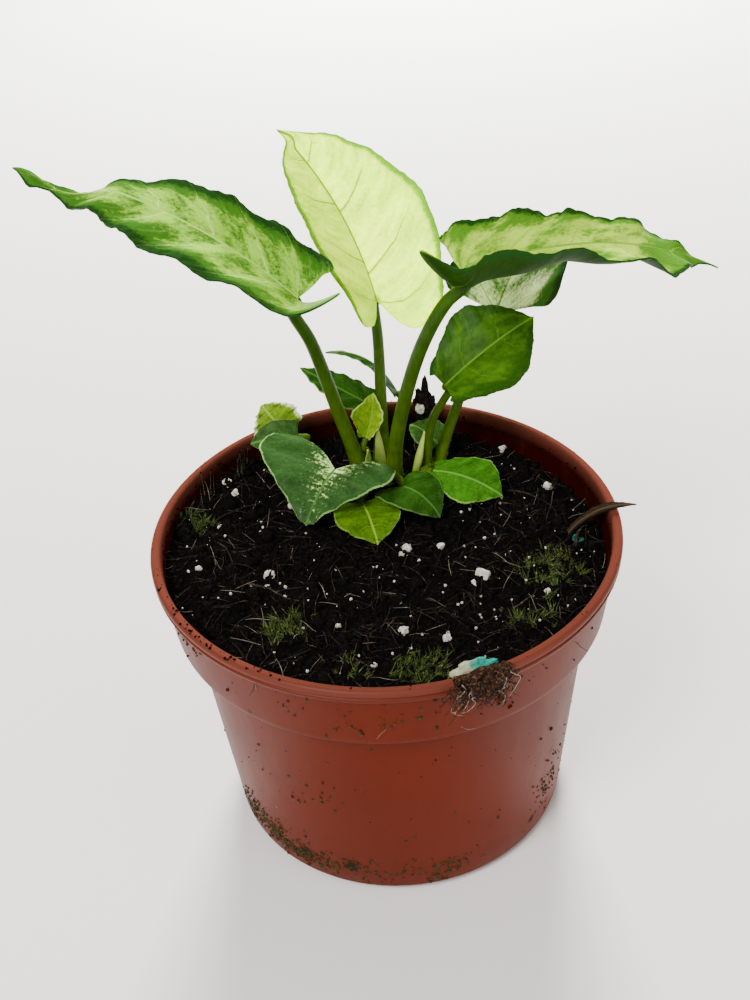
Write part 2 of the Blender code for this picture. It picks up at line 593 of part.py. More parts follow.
def make_soil(group):
    """Soil with an uneven top that fills the pot, with wells for the crowns and channels for the roots."""
    points, faces = [], []
    rim_height = [soil_height(52 * math.cos(a), 52 * math.sin(a))
                  for a in np.linspace(0, 2 * math.pi, SOIL_SECTORS, endpoint=False)]
    top_radius = inner_radius(80.0) - GAP
    points.append((0.0, 0.0, soil_height(0.0, 0.0)))
    for ring in range(1, SOIL_RINGS + 1):
        radius = top_radius * (ring / SOIL_RINGS) ** 0.85
        for sector in range(SOIL_SECTORS):
            angle = 2 * math.pi * sector / SOIL_SECTORS
            x, y = radius * math.cos(angle), radius * math.sin(angle)
            height = soil_height(x, y)
            if ring == SOIL_RINGS:
                height = min(rim_height[sector], 85.5)
                fit = (inner_radius(height) - GAP) / top_radius
                x, y = x * fit, y * fit
            points.append((x, y, height))
    lower = [(54.9, SHELF_Z + 1.2), (54.2, SHELF_Z + 0.6), (51.1, SHELF_Z + 0.3),
             (inner_radius(68.0) - GAP, 68.0), (inner_radius(6.0) - GAP, 6.0),
             (BASE_RADIUS - 3.2, FLOOR_TOP_Z + GAP)]
    for radius, height in lower:
        for sector in range(SOIL_SECTORS):
            angle = 2 * math.pi * sector / SOIL_SECTORS
            points.append((radius * math.cos(angle), radius * math.sin(angle), height))
    rings = SOIL_RINGS + len(lower)
    for sector in range(SOIL_SECTORS):
        after = (sector + 1) % SOIL_SECTORS
        faces.append((0, 1 + sector, 1 + after))
        for ring in range(rings - 1):
            a = 1 + ring * SOIL_SECTORS + sector
            b = 1 + ring * SOIL_SECTORS + after
            faces.append((a, a + SOIL_SECTORS, b + SOIL_SECTORS, b))
    last = 1 + (rings - 1) * SOIL_SECTORS
    faces.append(tuple(range(last, last + SOIL_SECTORS))[::-1])
    soil = mesh_from_points("soil", points, faces, group)
    weld(soil)
    lumps = new_collection("soil_lumps", cutters=True)
    for i, (x, y, radius) in enumerate(SOIL_LUMPS):
        place = Vector((x, y, soil_height(x, y) + 0.25 * radius)) * MM
        bpy.ops.mesh.primitive_ico_sphere_add(subdivisions=1, radius=radius * MM, location=place,
                                              rotation=(i * 0.9, i * 1.7, i * 0.4))
        lump = bpy.context.object
        lump.scale = (1.15, 0.95, 0.8)
        for owner in list(lump.users_collection):
            owner.objects.unlink(lump)
        lumps.objects.link(lump)
    boolean(soil, lumps, "UNION")
    bpy.data.collections.remove(lumps)
    wells = new_collection("soil_cutters", cutters=True)
    for name in CROWNS:
        make_crown(name, wells, GAP)
    for crown, start, end in ROOTS:
        make_root(crown + "_channel", start, end, wells, GAP)
    rolled_leaf_tube("rolled_leaf_hole", wells, GAP)
    boolean(soil, wells, "DIFFERENCE")
    bpy.data.collections.remove(wells)
    weld(soil)
    soil.data.materials.clear()
    soil.data.materials.append(new_material("soil", PEAT, 0.9))
    shade(soil, 40)
    return soil


def make_chunk(name, centre, half_sizes, group, colour, seed, rough=0.3, turn=0.0):
    """Rough lump seated just above the soil."""
    bpy.ops.mesh.primitive_ico_sphere_add(subdivisions=2, radius=1.0, location=(0, 0, 0))
    chunk = bpy.context.object
    chunk.name = name
    chunk.data.name = name
    for owner in list(chunk.users_collection):
        owner.objects.unlink(chunk)
    group.objects.link(chunk)
    cosine, sine = math.cos(math.radians(turn)), math.sin(math.radians(turn))
    for vertex in chunk.data.vertices:
        bump = 1.0 + rough * noise.noise(vertex.co * 1.9 + Vector((seed, 0, 0)))
        x, y, z = (vertex.co[k] * half_sizes[k] * bump for k in range(3))
        x, y = x * cosine - y * sine + centre[0], x * sine + y * cosine + centre[1]
        z = max(z + centre[2], soil_height(x, y) + 0.7 + 0.02 * (vertex.co.z + 1))
        vertex.co = (x * MM, y * MM, z * MM)
    chunk.data.materials.append(new_material(name, colour, 0.85))
    weld(chunk)
    shade(chunk, 50)
    return chunk


def make_rim_clump(group):
    """Crumb of soil and roots caught over the front of the lip, swept round the rim."""
    section = [(57.9, 88.35), (60.4, 88.35), (60.4, 84.0), (61.5, 83.2), (62.6, 85.0), (62.2, 88.2),
               (60.8, 90.2), (58.6, 89.7)]
    middle, half_angle, steps = math.radians(-71.5), math.radians(6.0), 8
    points, faces = [], []
    for i in range(steps + 1):
        u = -1 + 2 * i / steps
        swell = math.sqrt(max(0.0, 1 - u * u)) * 0.8 + 0.2
        angle = middle + half_angle * u
        for k, (radius, height) in enumerate(section):
            if k > 2:
                wobble = 1 + 0.35 * noise.noise(Vector((u * 2.3, k * 0.9, 1.3)))
                radius = 60.4 + (radius - 60.4) * swell * wobble
                height = 88.35 + (height - 88.35) * swell * wobble if k > 5 else height + (1 - swell) * 2.0
            points.append((radius * math.cos(angle), radius * math.sin(angle), height))
    count = len(section)
    for i in range(steps):
        for k in range(count):
            a, b = i * count + k, i * count + (k + 1) % count
            faces.append((a, a + count, b + count, b))
    faces.append(tuple(range(count)))
    faces.append(tuple(range(steps * count, (steps + 1) * count))[::-1])
    clump = mesh_from_points("rim_clump", points, faces, group, new_material("rim_clump", BARK_BROWN, 0.9))
    weld(clump)
    shade(clump, 40)
    return clump


LEAF_SCRAP = Leaf("leaf_scrap", (47.5, 1.0, 80.9), (64.5, 0.5, 88.9), (1.7, 1.4), lobe=(0, 0),
                  belly=(0.5, 0.5), foot=0.8, arch=2.9, ruffle=(0.1, 0.1), waves=3, ribs=10, steps=2,
                  colour=DEAD_BROWN)


def main():
    clear_scene()
    plant = new_collection("arrowhead_plant")
    make_pot(plant)
    make_soil(plant)
    for name in CROWNS:
        make_stems(name, plant)
    for leaf in LEAVES:
        make_blade(leaf, plant)
    rolled_leaf_tube("rolled_leaf", plant, material=new_material("rolled_leaf", YOUNG_GREEN, 0.45))
    shade(bpy.data.objects["rolled_leaf"], 60)
    make_chunk("bark_clump", (14.0, 51.4, 88.5), (3.2, 2.0, 9.2), plant, BARK_BROWN, 1.0, rough=0.5)
    make_chunk("mouldy_chip", (17.6, -51.5, 84.9), (5.4, 2.4, 2.4), plant, MOULD_TURQUOISE, 4.0, turn=18.0)
    make_rim_clump(plant)
    make_blade(LEAF_SCRAP, plant)


main()
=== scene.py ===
"""Arrowhead plant in a 12 cm nursery pot: the finish of every surface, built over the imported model.

Lengths are in millimetres, as on the real plant, and are turned to metres when a mesh is made. Each leaf is
bent by the same formula as its solid, on a finer grid that also says where its veins run.
"""
import random
from dataclasses import dataclass
from math import atan2, cos, degrees, exp, hypot, pi, radians, sin, sqrt

import bmesh
import bpy
import numpy as np
from mathutils import Matrix, Vector, noise


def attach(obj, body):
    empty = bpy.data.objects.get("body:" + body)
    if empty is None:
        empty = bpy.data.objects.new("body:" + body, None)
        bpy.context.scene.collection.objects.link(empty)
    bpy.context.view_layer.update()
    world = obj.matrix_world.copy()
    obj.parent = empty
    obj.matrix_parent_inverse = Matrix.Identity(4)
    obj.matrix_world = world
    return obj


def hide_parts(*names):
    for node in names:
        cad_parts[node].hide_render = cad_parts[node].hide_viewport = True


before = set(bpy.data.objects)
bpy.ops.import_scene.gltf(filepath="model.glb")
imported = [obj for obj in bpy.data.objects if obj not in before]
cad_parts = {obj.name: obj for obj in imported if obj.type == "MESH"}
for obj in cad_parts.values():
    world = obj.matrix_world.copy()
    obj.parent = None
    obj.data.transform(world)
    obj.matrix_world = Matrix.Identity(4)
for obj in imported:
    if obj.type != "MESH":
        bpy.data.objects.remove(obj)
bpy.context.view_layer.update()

MM = 0.001
GAP = 0.3
SEED = 11

# Pot, as in the solids
POT_HEIGHT = 88.0
COLLAR_BOTTOM_Z = 68.0
BODY_TOP_RADIUS = 52.4
SHELF_Z = 69.3
BASE_RADIUS = 46.5
WALL = 1.2
WALL_SLOPE = 0.1265         # how the collar's wall leans out
WALL_MIDDLE = 47.0          # radius of that wall's middle, carried down to z = 0
FLOOR_TOP_Z = 3.4
FOOT_RING_RADIUS = 42.0
DRAIN_HOLES = 8
DRAIN_HOLE_RADIUS = 3.2
DRAIN_CIRCLE_RADIUS = 28.0
POT_SIDES = 180
LIP_PROFILE = [(58.45, 83.2), (58.7, 83.9), (59.5, 84.4), (59.85, 85.0), (59.85, 85.5), (59.5, 85.85),
               (59.5, 86.1), (59.9, 86.4), (60.0, 86.9), (59.9, 87.5), (59.4, 87.95), (58.8, 88.0),
               (58.1, 87.95), (57.6, 87.6), (57.4, 86.9)]

# Soil
SOIL_LEVEL = 81.0
SOIL_TOP_LIMIT = 85.2       # keeps the soil below the lip
CALM_REACH = 9.0            # distance from the crowns over which the mounds rise
RING_CROWDING = 0.85        # below one the rings of points lie closer together towards the wall
SOIL_RELIEF = ((0.75, 0.33, 1.1), (0.55, 0.75, 5.2), (0.35, 1.7, 9.4))  # height, fineness, layer of noise
SOIL_SECTORS = 260
SOIL_RINGS = 95

# Leaves
BLADE_THICKNESS = 0.45
TIP_ROOM = 3.0              # half width below which a blade flattens towards its tip
OUTLINE_STEPS = 12          # steps between two given points of an outline
HEEL_STEP = 3 * OUTLINE_STEPS   # outline points from the sinus to the outer corner of a lobe
GRID_STEP = 0.55            # distance between grid lines of a fine blade
SIDE_PHASE = 20.0           # vein number at which the right half starts
TISSUE_IOR = 1.42
PLASTIC_IOR = 1.49
THIRD_TURN = 2.094          # a third of a turn, in radians
PER_SQUARE_CM = 10000.0     # square centimetres in a square metre

# Camera
CAMERA_TARGET = (-2.1, 0.0, 96.4)
CAMERA_ELEVATION = 36.46
CAMERA_DISTANCE = 328.7
CAMERA_ROLL = -3.95
CAMERA_LENS = 47.0
LIGHT_AIM = (0.0, 0.0, 0.09)    # where the lights point, in metres


@dataclass
class Leaf:
    """One blade. Left and right are as seen from above with the tip ahead."""
    name: str
    base: tuple                     # where the stalk meets the blade
    tip: tuple                      # end of the drip tip
    width: tuple                    # half widths, left and right
    lobe: tuple = (0.0, 0.0)        # how far each basal lobe reaches back
    belly: tuple = (0.4, 0.4)       # where the blade is widest, as a share of its length
    full: tuple = (0.82, 0.82)      # width at the middle, as a share of the half width
    shoulder: float = 0.45          # width near the tip
    drip: float = 0.95              # where the drip tip starts
    drip_width: float = 0.13
    drip_bulge: float = 0.05
    foot: float = 1.0               # width at the base
    lobe_at: float = 0.62           # how far out the lobes point
    roll: float = 0.0               # turn about the line from base to tip
    arch: float = 0.0               # rise of the midrib over that line
    sway: float = 0.0               # sideways bow of the midrib
    hook: tuple = (0.0, 0.0)        # lift and side shift of the midrib near the tip
    hook_from: float = 0.8
    fold: tuple = (10, 10, 10, 10)  # slope: left at base, left at tip, right at base, right at tip
    curl: tuple = (0, 0, 0, 0)      # extra slope gained by the margin, in the same order
    lobe_lift: tuple = (0.0, 0.0)
    ruffle: tuple = (0.2, 0.2)      # height of the waves at the margin
    waves: float = 7.0
    skin: str = "mid_green"         # which finish it takes
    crinkle: float = 0.15           # finer waves of the margin
    ragged: float = 0.15            # how uneven the margin's line is


LEAVES = [
    Leaf("left_leaf", (-17.6, 20.0, 143.7), (-86.6, 50.0, 169.8), (19, 14.5), lobe=(7, 1),
         belly=(0.14, 0.24), full=(0.9, 1.05), drip=0.83, drip_width=0.12, drip_bulge=0.17, arch=7,
         hook=(-4.5, 0), hook_from=0.62, fold=(22, -25, 25, -22), lobe_lift=(12, 0), ruffle=(0.8, 0.8),
         skin="cream_splash", crinkle=0.35, ragged=0.5),
    Leaf("centre_leaf", (1.8, 48.0, 127.2), (-21.4, 72.0, 166.9), (18, 22), lobe=(6, 10),
         belly=(0.24, 0.3), shoulder=0.5, drip=0.92, lobe_at=0.45, roll=-25, arch=2, sway=3, hook=(0, 1.5),
         hook_from=0.85, fold=(55, 25, 15, 5), ruffle=(0.8, 0.8), skin="backlit_cream", crinkle=0.3,
         ragged=0.35),
    Leaf("right_leaf", (22.8, 20.0, 147.9), (89.0, 34.0, 137.0), (14, 20), lobe=(1, 10), belly=(0.2, 0.14),
         shoulder=0.7, drip=0.88, arch=7, fold=(25, 5, -25, -6), curl=(0, 0, 125, 0), lobe_lift=(0, 13),
         ruffle=(0.8, 1.2), waves=6, skin="lime_splash", crinkle=0.45, ragged=0.6),
    Leaf("back_leaf", (34.7, 52.0, 118.6), (53.0, 82.0, 127.3), (19, 30), belly=(0.12, 0.12), drip=0.86,
         arch=5, fold=(55, 55, 42, 42), ruffle=(0.8, 0.8), skin="white_splash", crinkle=0.3, ragged=0.35),
    Leaf("middle_leaf", (18.6, 33.0, 108.1), (43.3, 41.0, 122.7), (13, 15), belly=(0.45, 0.4),
         full=(0.85, 0.95), shoulder=0.5, foot=0.5, roll=25, arch=2, fold=(15, 15, 15, 15),
         ruffle=(0.3, 0.3), crinkle=0.3, ragged=0.25),
    Leaf("low_right_leaf", (14.2, 26.0, 85.6), (32.0, 15.0, 83.4), (8, 10), belly=(0.5, 0.5),
         full=(0.95, 0.95), shoulder=0.5, foot=0.5, arch=2, fold=(10, 10, 0, 0), skin="bright_green"),
    Leaf("low_centre_leaf", (5.9, 18.0, 86.7), (14.6, 8.0, 83.2), (7.5, 10), lobe=(3, 3),
         belly=(0.25, 0.25), arch=2, skin="dark_green"),
    Leaf("low_left_leaf", (-12.3, 24.0, 89.6), (-20.6, 7.0, 84.3), (18, 21), lobe=(6, 6),
         belly=(0.12, 0.2), full=(0.68, 0.65), shoulder=0.3, drip=0.93, arch=2, fold=(8, 8, 18, 18),
         ruffle=(0.4, 0.4), skin="splashed_dark", crinkle=0.25, ragged=0.3),
    Leaf("low_front_leaf", (-5.6, 17.0, 83.1), (-2.1, -1.0, 82.7), (8, 9), belly=(0.35, 0.35), full=(1, 1),
         shoulder=0.6, arch=1.5, ruffle=(0.3, 0.3), skin="yellow_green", crinkle=0.2, ragged=0.2),
    Leaf("young_leaf", (-3.4, 36.0, 91.3), (-0.6, 40.0, 103.2), (6, 4), full=(0.95, 0.95), foot=0.4,
         arch=-1, fold=(60, 60, 10, 10), skin="young_green", crinkle=0.1, ragged=0.1),
    Leaf("behind_left_leaf", (-1.1, 44.0, 96.5), (-20.5, 52.0, 105.6), (6, 7), belly=(0.35, 0.35),
         fold=(0, 0, 0, 0), ruffle=(0.3, 0.3), skin="dark_green"),
    Leaf("behind_thin_leaf", (6.2, 49.0, 97.4), (-13.3, 58.0, 106.4), (3.5, 5), belly=(0.2, 0.2), arch=5,
         fold=(10, 10, -40, -40), skin="dark_green"),
    Leaf("rim_leaf", (-22.3, 39.0, 91.2), (-35.5, 39.0, 89.9), (4.5, 5), drip=0.97, roll=-40, arch=2,
         skin="grey_green", crinkle=0.1),
    Leaf("frilled_leaf", (-26.5, 46.0, 89.2), (-32.0, 48.0, 96.8), (7, 7), drip=0.97, roll=-60, arch=1,
         ruffle=(0.35, 0.35), waves=5, skin="frilled", crinkle=0.8, ragged=0.95),
    Leaf("back_low_leaf", (16.8, 42.2, 83.2), (9.4, 48.0, 86.7), (6, 6), drip=0.97, arch=1,
         skin="grey_green", ragged=0.2),
]


def linear(hex_colour):
    """sRGB hex, such as "#8f3a1f", as linear RGBA."""
    values = [int(hex_colour[i:i + 2], 16) / 255 for i in (1, 3, 5)]
    return tuple(v / 12.92 if v <= 0.04045 else ((v + 0.055) / 1.055) ** 2.4 for v in values) + (1.0,)


def add(tree, kind, inputs=None, **settings):
    """A new node with its settings. inputs gives a socket a value, or the output that feeds it."""
    node = tree.nodes.new(kind)
    for name, value in settings.items():
        setattr(node, name, value)
    for socket, value in (inputs or {}).items():
        if isinstance(value, bpy.types.NodeSocket):
            tree.links.new(value, node.inputs[socket])
        else:
            node.inputs[socket].default_value = value
    return node


class Look:
    """One material. Each call adds a node and returns its output. Colours are hex values or outputs."""

    def __init__(self, name):
        self.material = bpy.data.materials.new(name)
        self.material.use_nodes = True
        self.tree = self.material.node_tree
        self.tree.nodes.clear()

    def node(self, kind, inputs=None, **settings):
        return add(self.tree, "ShaderNode" + kind, inputs, **settings).outputs

    def place(self):
        """Position in the object's own frame, in metres."""
        return self.node("TexCoord")["Object"]

    def axes(self, vector):
        return self.node("SeparateXYZ", {0: vector})

    def stretched(self, vector, scale):
        return self.node("Mapping", {0: vector, 3: scale})[0]

    def noise(self, vector, scale, detail, roughness=0.5, distortion=0.0):
        return self.node("TexNoise", {"Vector": vector, "Scale": scale, "Detail": detail,
                                      "Roughness": roughness, "Distortion": distortion})[0]

    def math(self, operation, *values, **settings):
        return self.node("Math", dict(enumerate(values)), operation=operation, **settings)[0]

    def weigh(self, value, weight, rest, **settings):
        """value times weight, added to rest."""
        return self.math("MULTIPLY_ADD", value, weight, rest, **settings)

    def ramp(self, value, start, end, low=0.0, high=1.0, soft=False):
        """Runs from low to high while value runs from start to end."""
        kind = "SMOOTHSTEP" if soft else "LINEAR"
        return self.node("MapRange", {"Value": value, "From Min": start, "From Max": end,
                                      "To Min": low, "To Max": high}, interpolation_type=kind)[0]

    def mix(self, share, first, second):
        first, second = (linear(c) if isinstance(c, str) else c for c in (first, second))
        return self.node("Mix", {0: share, 6: first, 7: second}, data_type="RGBA")[2]

    def toned(self, colour, value, saturation=1.0):
        return self.node("HueSaturation", {"Saturation": saturation, "Value": value, "Color": colour})[0]

    def bump(self, height, strength, depth):
        """Relief on the surface, depth in millimetres."""
        return self.node("Bump", {"Strength": strength, "Distance": depth * MM, "Height": height})[0]

    def surface(self, colour, roughness, shine, normal, more=None):
        inputs = {"Base Color": colour, "Roughness": roughness, "Specular IOR Level": shine, "Normal": normal}
        return self.node("BsdfPrincipled", {**inputs, **(more or {})})[0]

    def finish(self, shader):
        self.node("OutputMaterial", {0: shader})
        return self.material


def new_object(name, data):
    thing = bpy.data.objects.new(name, data)
    bpy.context.scene.collection.objects.link(thing)
    return thing


def mesh_from_points(name, points, faces):
    mesh = bpy.data.meshes.new(name)
    mesh.from_pydata([tuple(float(v) * MM for v in p) for p in points], [], faces)
    mesh.validate()
    return new_object(name, mesh)


def grid_faces(rows, columns, closed=False):
    """Quads of a grid of points, row by row. In a closed one the last column meets the first."""
    faces = []
    for i in range(rows - 1):
        for k in range(columns if closed else columns - 1):
            a, b = i * columns + k, i * columns + (k + 1) % columns
            faces.append((a, b, b + columns, a + columns))
    return faces


def polar(radius, angle, height):
    """Point at a radius from Z and an angle round it."""
    return radius * cos(angle), radius * sin(angle), height


def moved(thing, place):
    """The same object with its mesh moved by place, in millimetres."""
    thing.data.transform(Matrix.Translation(Vector(place) * MM))
    return thing


def coated(thing, material):
    thing.data.materials.append(material)
    return thing


def baked(thing, name=None):
    """A plain mesh object of what the modifiers make. The first object is removed."""
    graph = bpy.context.evaluated_depsgraph_get()
    graph.update()
    mesh = bpy.data.meshes.new_from_object(thing.evaluated_get(graph), preserve_all_data_layers=True,
                                           depsgraph=graph)
    wanted = name or thing.name
    old = thing.data
    bpy.data.objects.remove(thing, do_unlink=True)
    if isinstance(old, bpy.types.Mesh) and old.users == 0:
        bpy.data.meshes.remove(old)
    mesh.name = wanted
    return new_object(wanted, mesh)


def thickened(thing, thickness):
    """Gives a sheet its thickness, half on either side. Its underside takes the second material."""
    thick = thing.modifiers.new("Thickness", "SOLIDIFY")
    thick.thickness = thickness * MM
    thick.offset = 0.0
    thick.material_offset = 1
    thick.material_offset_rim = 0
    return baked(thing)


def weld(thing, distance=0.002, turn=True):
    """Merges points closer than distance, in millimetres, and turns the faces outwards where turn is set."""
    work = bmesh.new()
    work.from_mesh(thing.data)
    bmesh.ops.remove_doubles(work, verts=work.verts, dist=distance * MM)
    bmesh.ops.dissolve_degenerate(work, edges=work.edges, dist=1e-7)
    if turn:
        bmesh.ops.recalc_face_normals(work, faces=work.faces)
    work.to_mesh(thing.data)
    work.free()


def smooth(thing, angle=None):
    """Smooth shading, with edges sharper than angle, in degrees, left sharp."""
    thing.data.shade_smooth()
    if angle is not None:
        thing.data.set_sharp_from_angle(angle=radians(angle))


def joined(things, name):
    """Several mesh objects as one, each with its own materials."""
    for other in bpy.context.selected_objects:
        other.select_set(False)
    for thing in things:
        thing.select_set(True)
    bpy.context.view_layer.objects.active = things[0]
    if len(things) > 1:
        bpy.ops.object.join()
    things[0].name = name
    things[0].data.name = name
    return things[0]


def dress(thing, materials, slot, *nodes):
    """Gives a piece its finish and its body, and hides the solids that it stands for."""
    for i, material in enumerate(materials or []):
        if i == len(thing.data.materials):
            thing.data.materials.append(None)
        thing.data.materials[i] = material
    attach(thing, "root")
    if nodes:
        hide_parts(*nodes)


def smooth_path(points, count, spacing=0.0):
    """Catmull-Rom curve through points, with count steps in each span.

    With spacing 0.5 the spans are timed by their lengths, so that short and long ones can follow each other.
    """
    points = np.array(points, float)
    padded = np.vstack([2 * points[0] - points[1], points, 2 * points[-1] - points[-2]])
    spans = np.linalg.norm(np.diff(padded, axis=0), axis=1) ** spacing
    slopes = np.diff(padded, axis=0) / spans[:, None]
    shares = (spans[:-1] / (spans[:-1] + spans[1:]))[:, None]
    tangents = slopes[:-1] * (1 - shares) + slopes[1:] * shares
    path = []
    for i in range(len(points) - 1):
        h = spans[i + 1]
        for t in np.linspace(0, 1, count, endpoint=False):
            blend = 3 * t ** 2 - 2 * t ** 3
            leave = (t ** 3 - 2 * t ** 2 + t) * h * tangents[i]
            arrive = (t ** 3 - t ** 2) * h * tangents[i + 1]
            path.append((1 - blend) * points[i] + blend * points[i + 1] + leave + arrive)
    path.append(points[-1])
    return np.array(path)


def tube(name, path, radii, sides=20):
    """Capped tube along a path, made with a bevelled curve."""
    curve = bpy.data.curves.new(name, "CURVE")
    curve.dimensions = "3D"
    curve.bevel_depth = MM
    curve.bevel_resolution = sides // 2 - 2
    curve.use_fill_caps = True
    spline = curve.splines.new("POLY")
    spline.points.add(len(path) - 1)
    for point, place, radius in zip(spline.points, path, radii):
        point.co = (*(float(v) * MM for v in place), 1.0)
        point.radius = float(radius)
    thing = baked(new_object(name, curve), name)
    bpy.data.curves.remove(curve)
    weld(thing)
    smooth(thing, 60)
    return thing


def lathe(name, profile, sides):
    """Closed solid from a profile of (radius, height) turned round Z."""
    angles = np.linspace(0, 2 * pi, sides, endpoint=False)
    points = [polar(radius, a, height) for radius, height in np.array(profile, float) for a in angles]
    thing = mesh_from_points(name, points, grid_faces(len(profile), sides, True))
    weld(thing, 0.01)
    return thing


def normalised(vectors):
    """Each vector at length one."""
    return vectors / np.linalg.norm(vectors, axis=-1, keepdims=True)


def noise_along(values, scale, seed):
    """Smooth noise for each value, from -1 to 1."""
    return np.array([noise.noise(Vector((v * scale, seed * 7.31, 0.4))) for v in values])


def blade_outline(leaf, side):
    """Half outline as (across, along) points, from the sinus round the lobe to the tip."""
    width, lobe, length = leaf.width[side], leaf.lobe[side], blade_length(leaf)
    belly, drip, foot = leaf.belly[side], leaf.drip, leaf.foot
    outline = [
        (0, 0),
        (0.5 * leaf.lobe_at * width * foot, -0.8 * lobe),
        (leaf.lobe_at * width * foot, -lobe),
        ((0.4 + 0.8 * leaf.lobe_at) * width * foot, -0.5 * lobe),
        (width, belly * length),
        (leaf.full[side] * width, (belly + 0.42 * (drip - belly)) * length),
        (leaf.shoulder * width, (belly + 0.78 * (drip - belly)) * length),
        (leaf.drip_width * width, drip * length),
        (leaf.drip_bulge * width, 0.5 * (1 + drip) * length),
        (0, length),
    ]
    return smooth_path(outline, OUTLINE_STEPS)


def blade_length(leaf):
    """Length of the midrib, a little over the straight line because it arches."""
    return 1.02 * float(np.linalg.norm(np.array(leaf.tip) - np.array(leaf.base)))


def blade_frames(leaf, along):
    """Point, direction, normal and right-hand side of the midrib at distances along it."""
    base, tip = np.array(leaf.base, float), np.array(leaf.tip, float)
    chord = float(np.linalg.norm(tip - base))
    ahead = (tip - base) / chord
    normal = normalised(np.array([0, 0, 1.0]) - ahead * ahead[2])
    side = np.cross(ahead, normal)
    turn = radians(leaf.roll)
    normal, side = (normal * cos(turn) + side * sin(turn),
                    side * cos(turn) - normal * sin(turn))
    share = np.clip(along / blade_length(leaf), 0, 1)[:, None]
    bow = normal * leaf.arch + side * leaf.sway
    near_tip = np.clip((share - leaf.hook_from) / (1 - leaf.hook_from), 0, 1)
    points = base + ahead * chord * share + bow * 4 * share * (1 - share)
    points = points + (normal * leaf.hook[0] + side * leaf.hook[1]) * np.sin(pi * near_tip) ** 2
    direction = normalised(ahead * chord + bow * 4 * (1 - 2 * share))
    points = points + direction * np.minimum(along, 0)[:, None]
    normals = normalised(normal - direction * (direction @ normal)[:, None])
    return points, direction, normals, np.cross(direction, normals), share[:, 0]


def vein_phase(leaf, side, lap, out):
    """Runs up by one from each side vein to the next. Veins leave the midrib and bend towards the tip."""
    count = max(4.0, 0.07 * blade_length(leaf) + 2.0)
    return SIDE_PHASE * side + lap * count - 0.45 * out ** 2


def bend_blade(leaf, side, across, along, lap, out, room):
    """Flat half blade bent to its place as in the solids, with finer waves and swellings between veins."""
    points, _, normals, sides, share = blade_frames(leaf, along)
    width = leaf.width[side]
    fold_base, fold_tip = leaf.fold[2 * side:2 * side + 2]
    curl_base, curl_tip = leaf.curl[2 * side:2 * side + 2]
    narrow = np.clip(room / TIP_ROOM, 0, 1)
    fold = np.radians(fold_base + (fold_tip - fold_base) * share) * narrow
    curl = np.radians(curl_base + (curl_tip - curl_base) * share) / width + 1e-5
    level = (np.sin(fold + curl * across) - np.sin(fold)) / curl
    rise = (np.cos(fold) - np.cos(fold + curl * across)) / curl
    wave = np.sin(2 * pi * leaf.waves * lap + 1.3 * side)
    rise = rise + narrow * leaf.ruffle[side] * out ** 1.5 * wave
    if leaf.lobe[side]:
        rise = rise + leaf.lobe_lift[side] * (np.minimum(along, 0) / leaf.lobe[side]) ** 2
    fine = noise_along(lap, 26.0, side + len(leaf.name)) + 0.5 * noise_along(lap, 61.0, side + 3.0)
    rise = rise + narrow * leaf.crinkle * out ** 3 * 1.6 * fine
    swell = np.cos(2 * pi * vein_phase(leaf, side, lap, out)) * out * (1 - out)
    rise = rise - narrow * min(0.9, 0.045 * width) * swell
    outward = 1.0 if side else -1.0
    return points + sides * (outward * level)[:, None] + normals * rise[:, None]


def half_margin(leaf, side, ribs, outs):
    """Margin from the lobe's outer corner to the tip, with its shares of the way round, and the heel.

    The heel runs from the sinus round the lobe to that corner.
    """
    outline = blade_outline(leaf, side)
    run = np.concatenate([[0], np.cumsum(np.linalg.norm(np.diff(outline, axis=0), axis=1))])
    run /= run[-1]
    corner = run[HEEL_STEP]
    laps = corner + (1 - corner) * np.linspace(0, 1, ribs + 1)
    margin, heel = (np.stack([np.interp(where, run, outline[:, k]) for k in (0, 1)], axis=1)
                    for where in (laps, outs * corner))
    return laps, margin, heel


def blade_grid(leaf, side, ribs, steps):
    """One half as rows of points, with vein phase, share of the way out and reach in mm at each of them."""
    length = blade_length(leaf)
    outs = np.linspace(0, 1, steps + 1)
    laps, edge, heel = half_margin(leaf, side, ribs, outs)
    heel = heel - outs[:, None] * heel[-1]
    reach = 0.5 * (edge[:, 1] + half_margin(leaf, 1 - side, ribs, outs)[1][:, 1])
    start = np.clip((reach - 0.16 * length) / (0.84 * length), 0, 1) * length
    start = np.maximum.accumulate(start)
    fade = np.clip(1 - np.linspace(0, 1, ribs + 1) / 0.25, 0, 1) ** 2
    inner = np.clip(edge[:, 0] / TIP_ROOM, 0, 1)
    bite = noise_along(laps, 34.0, 5.0 + side + len(leaf.name)) + 0.6 * noise_along(laps, 83.0, 9.0)
    edge[:, 0] = edge[:, 0] + leaf.ragged * inner * bite
    across = edge[:, :1] * outs + heel[None, :, 0] * fade[:, None]
    along = start[:, None] * (1 - outs) + edge[:, 1:] * outs + heel[None, :, 1] * fade[:, None]
    lap = np.repeat(laps, steps + 1)
    out = np.tile(outs, ribs + 1)
    room = np.repeat(np.abs(edge[:, 0]), steps + 1)
    points = bend_blade(leaf, side, across.ravel(), along.ravel(), lap, out, room)
    return points, np.stack([vein_phase(leaf, side, lap, out), out, out * room], axis=1)


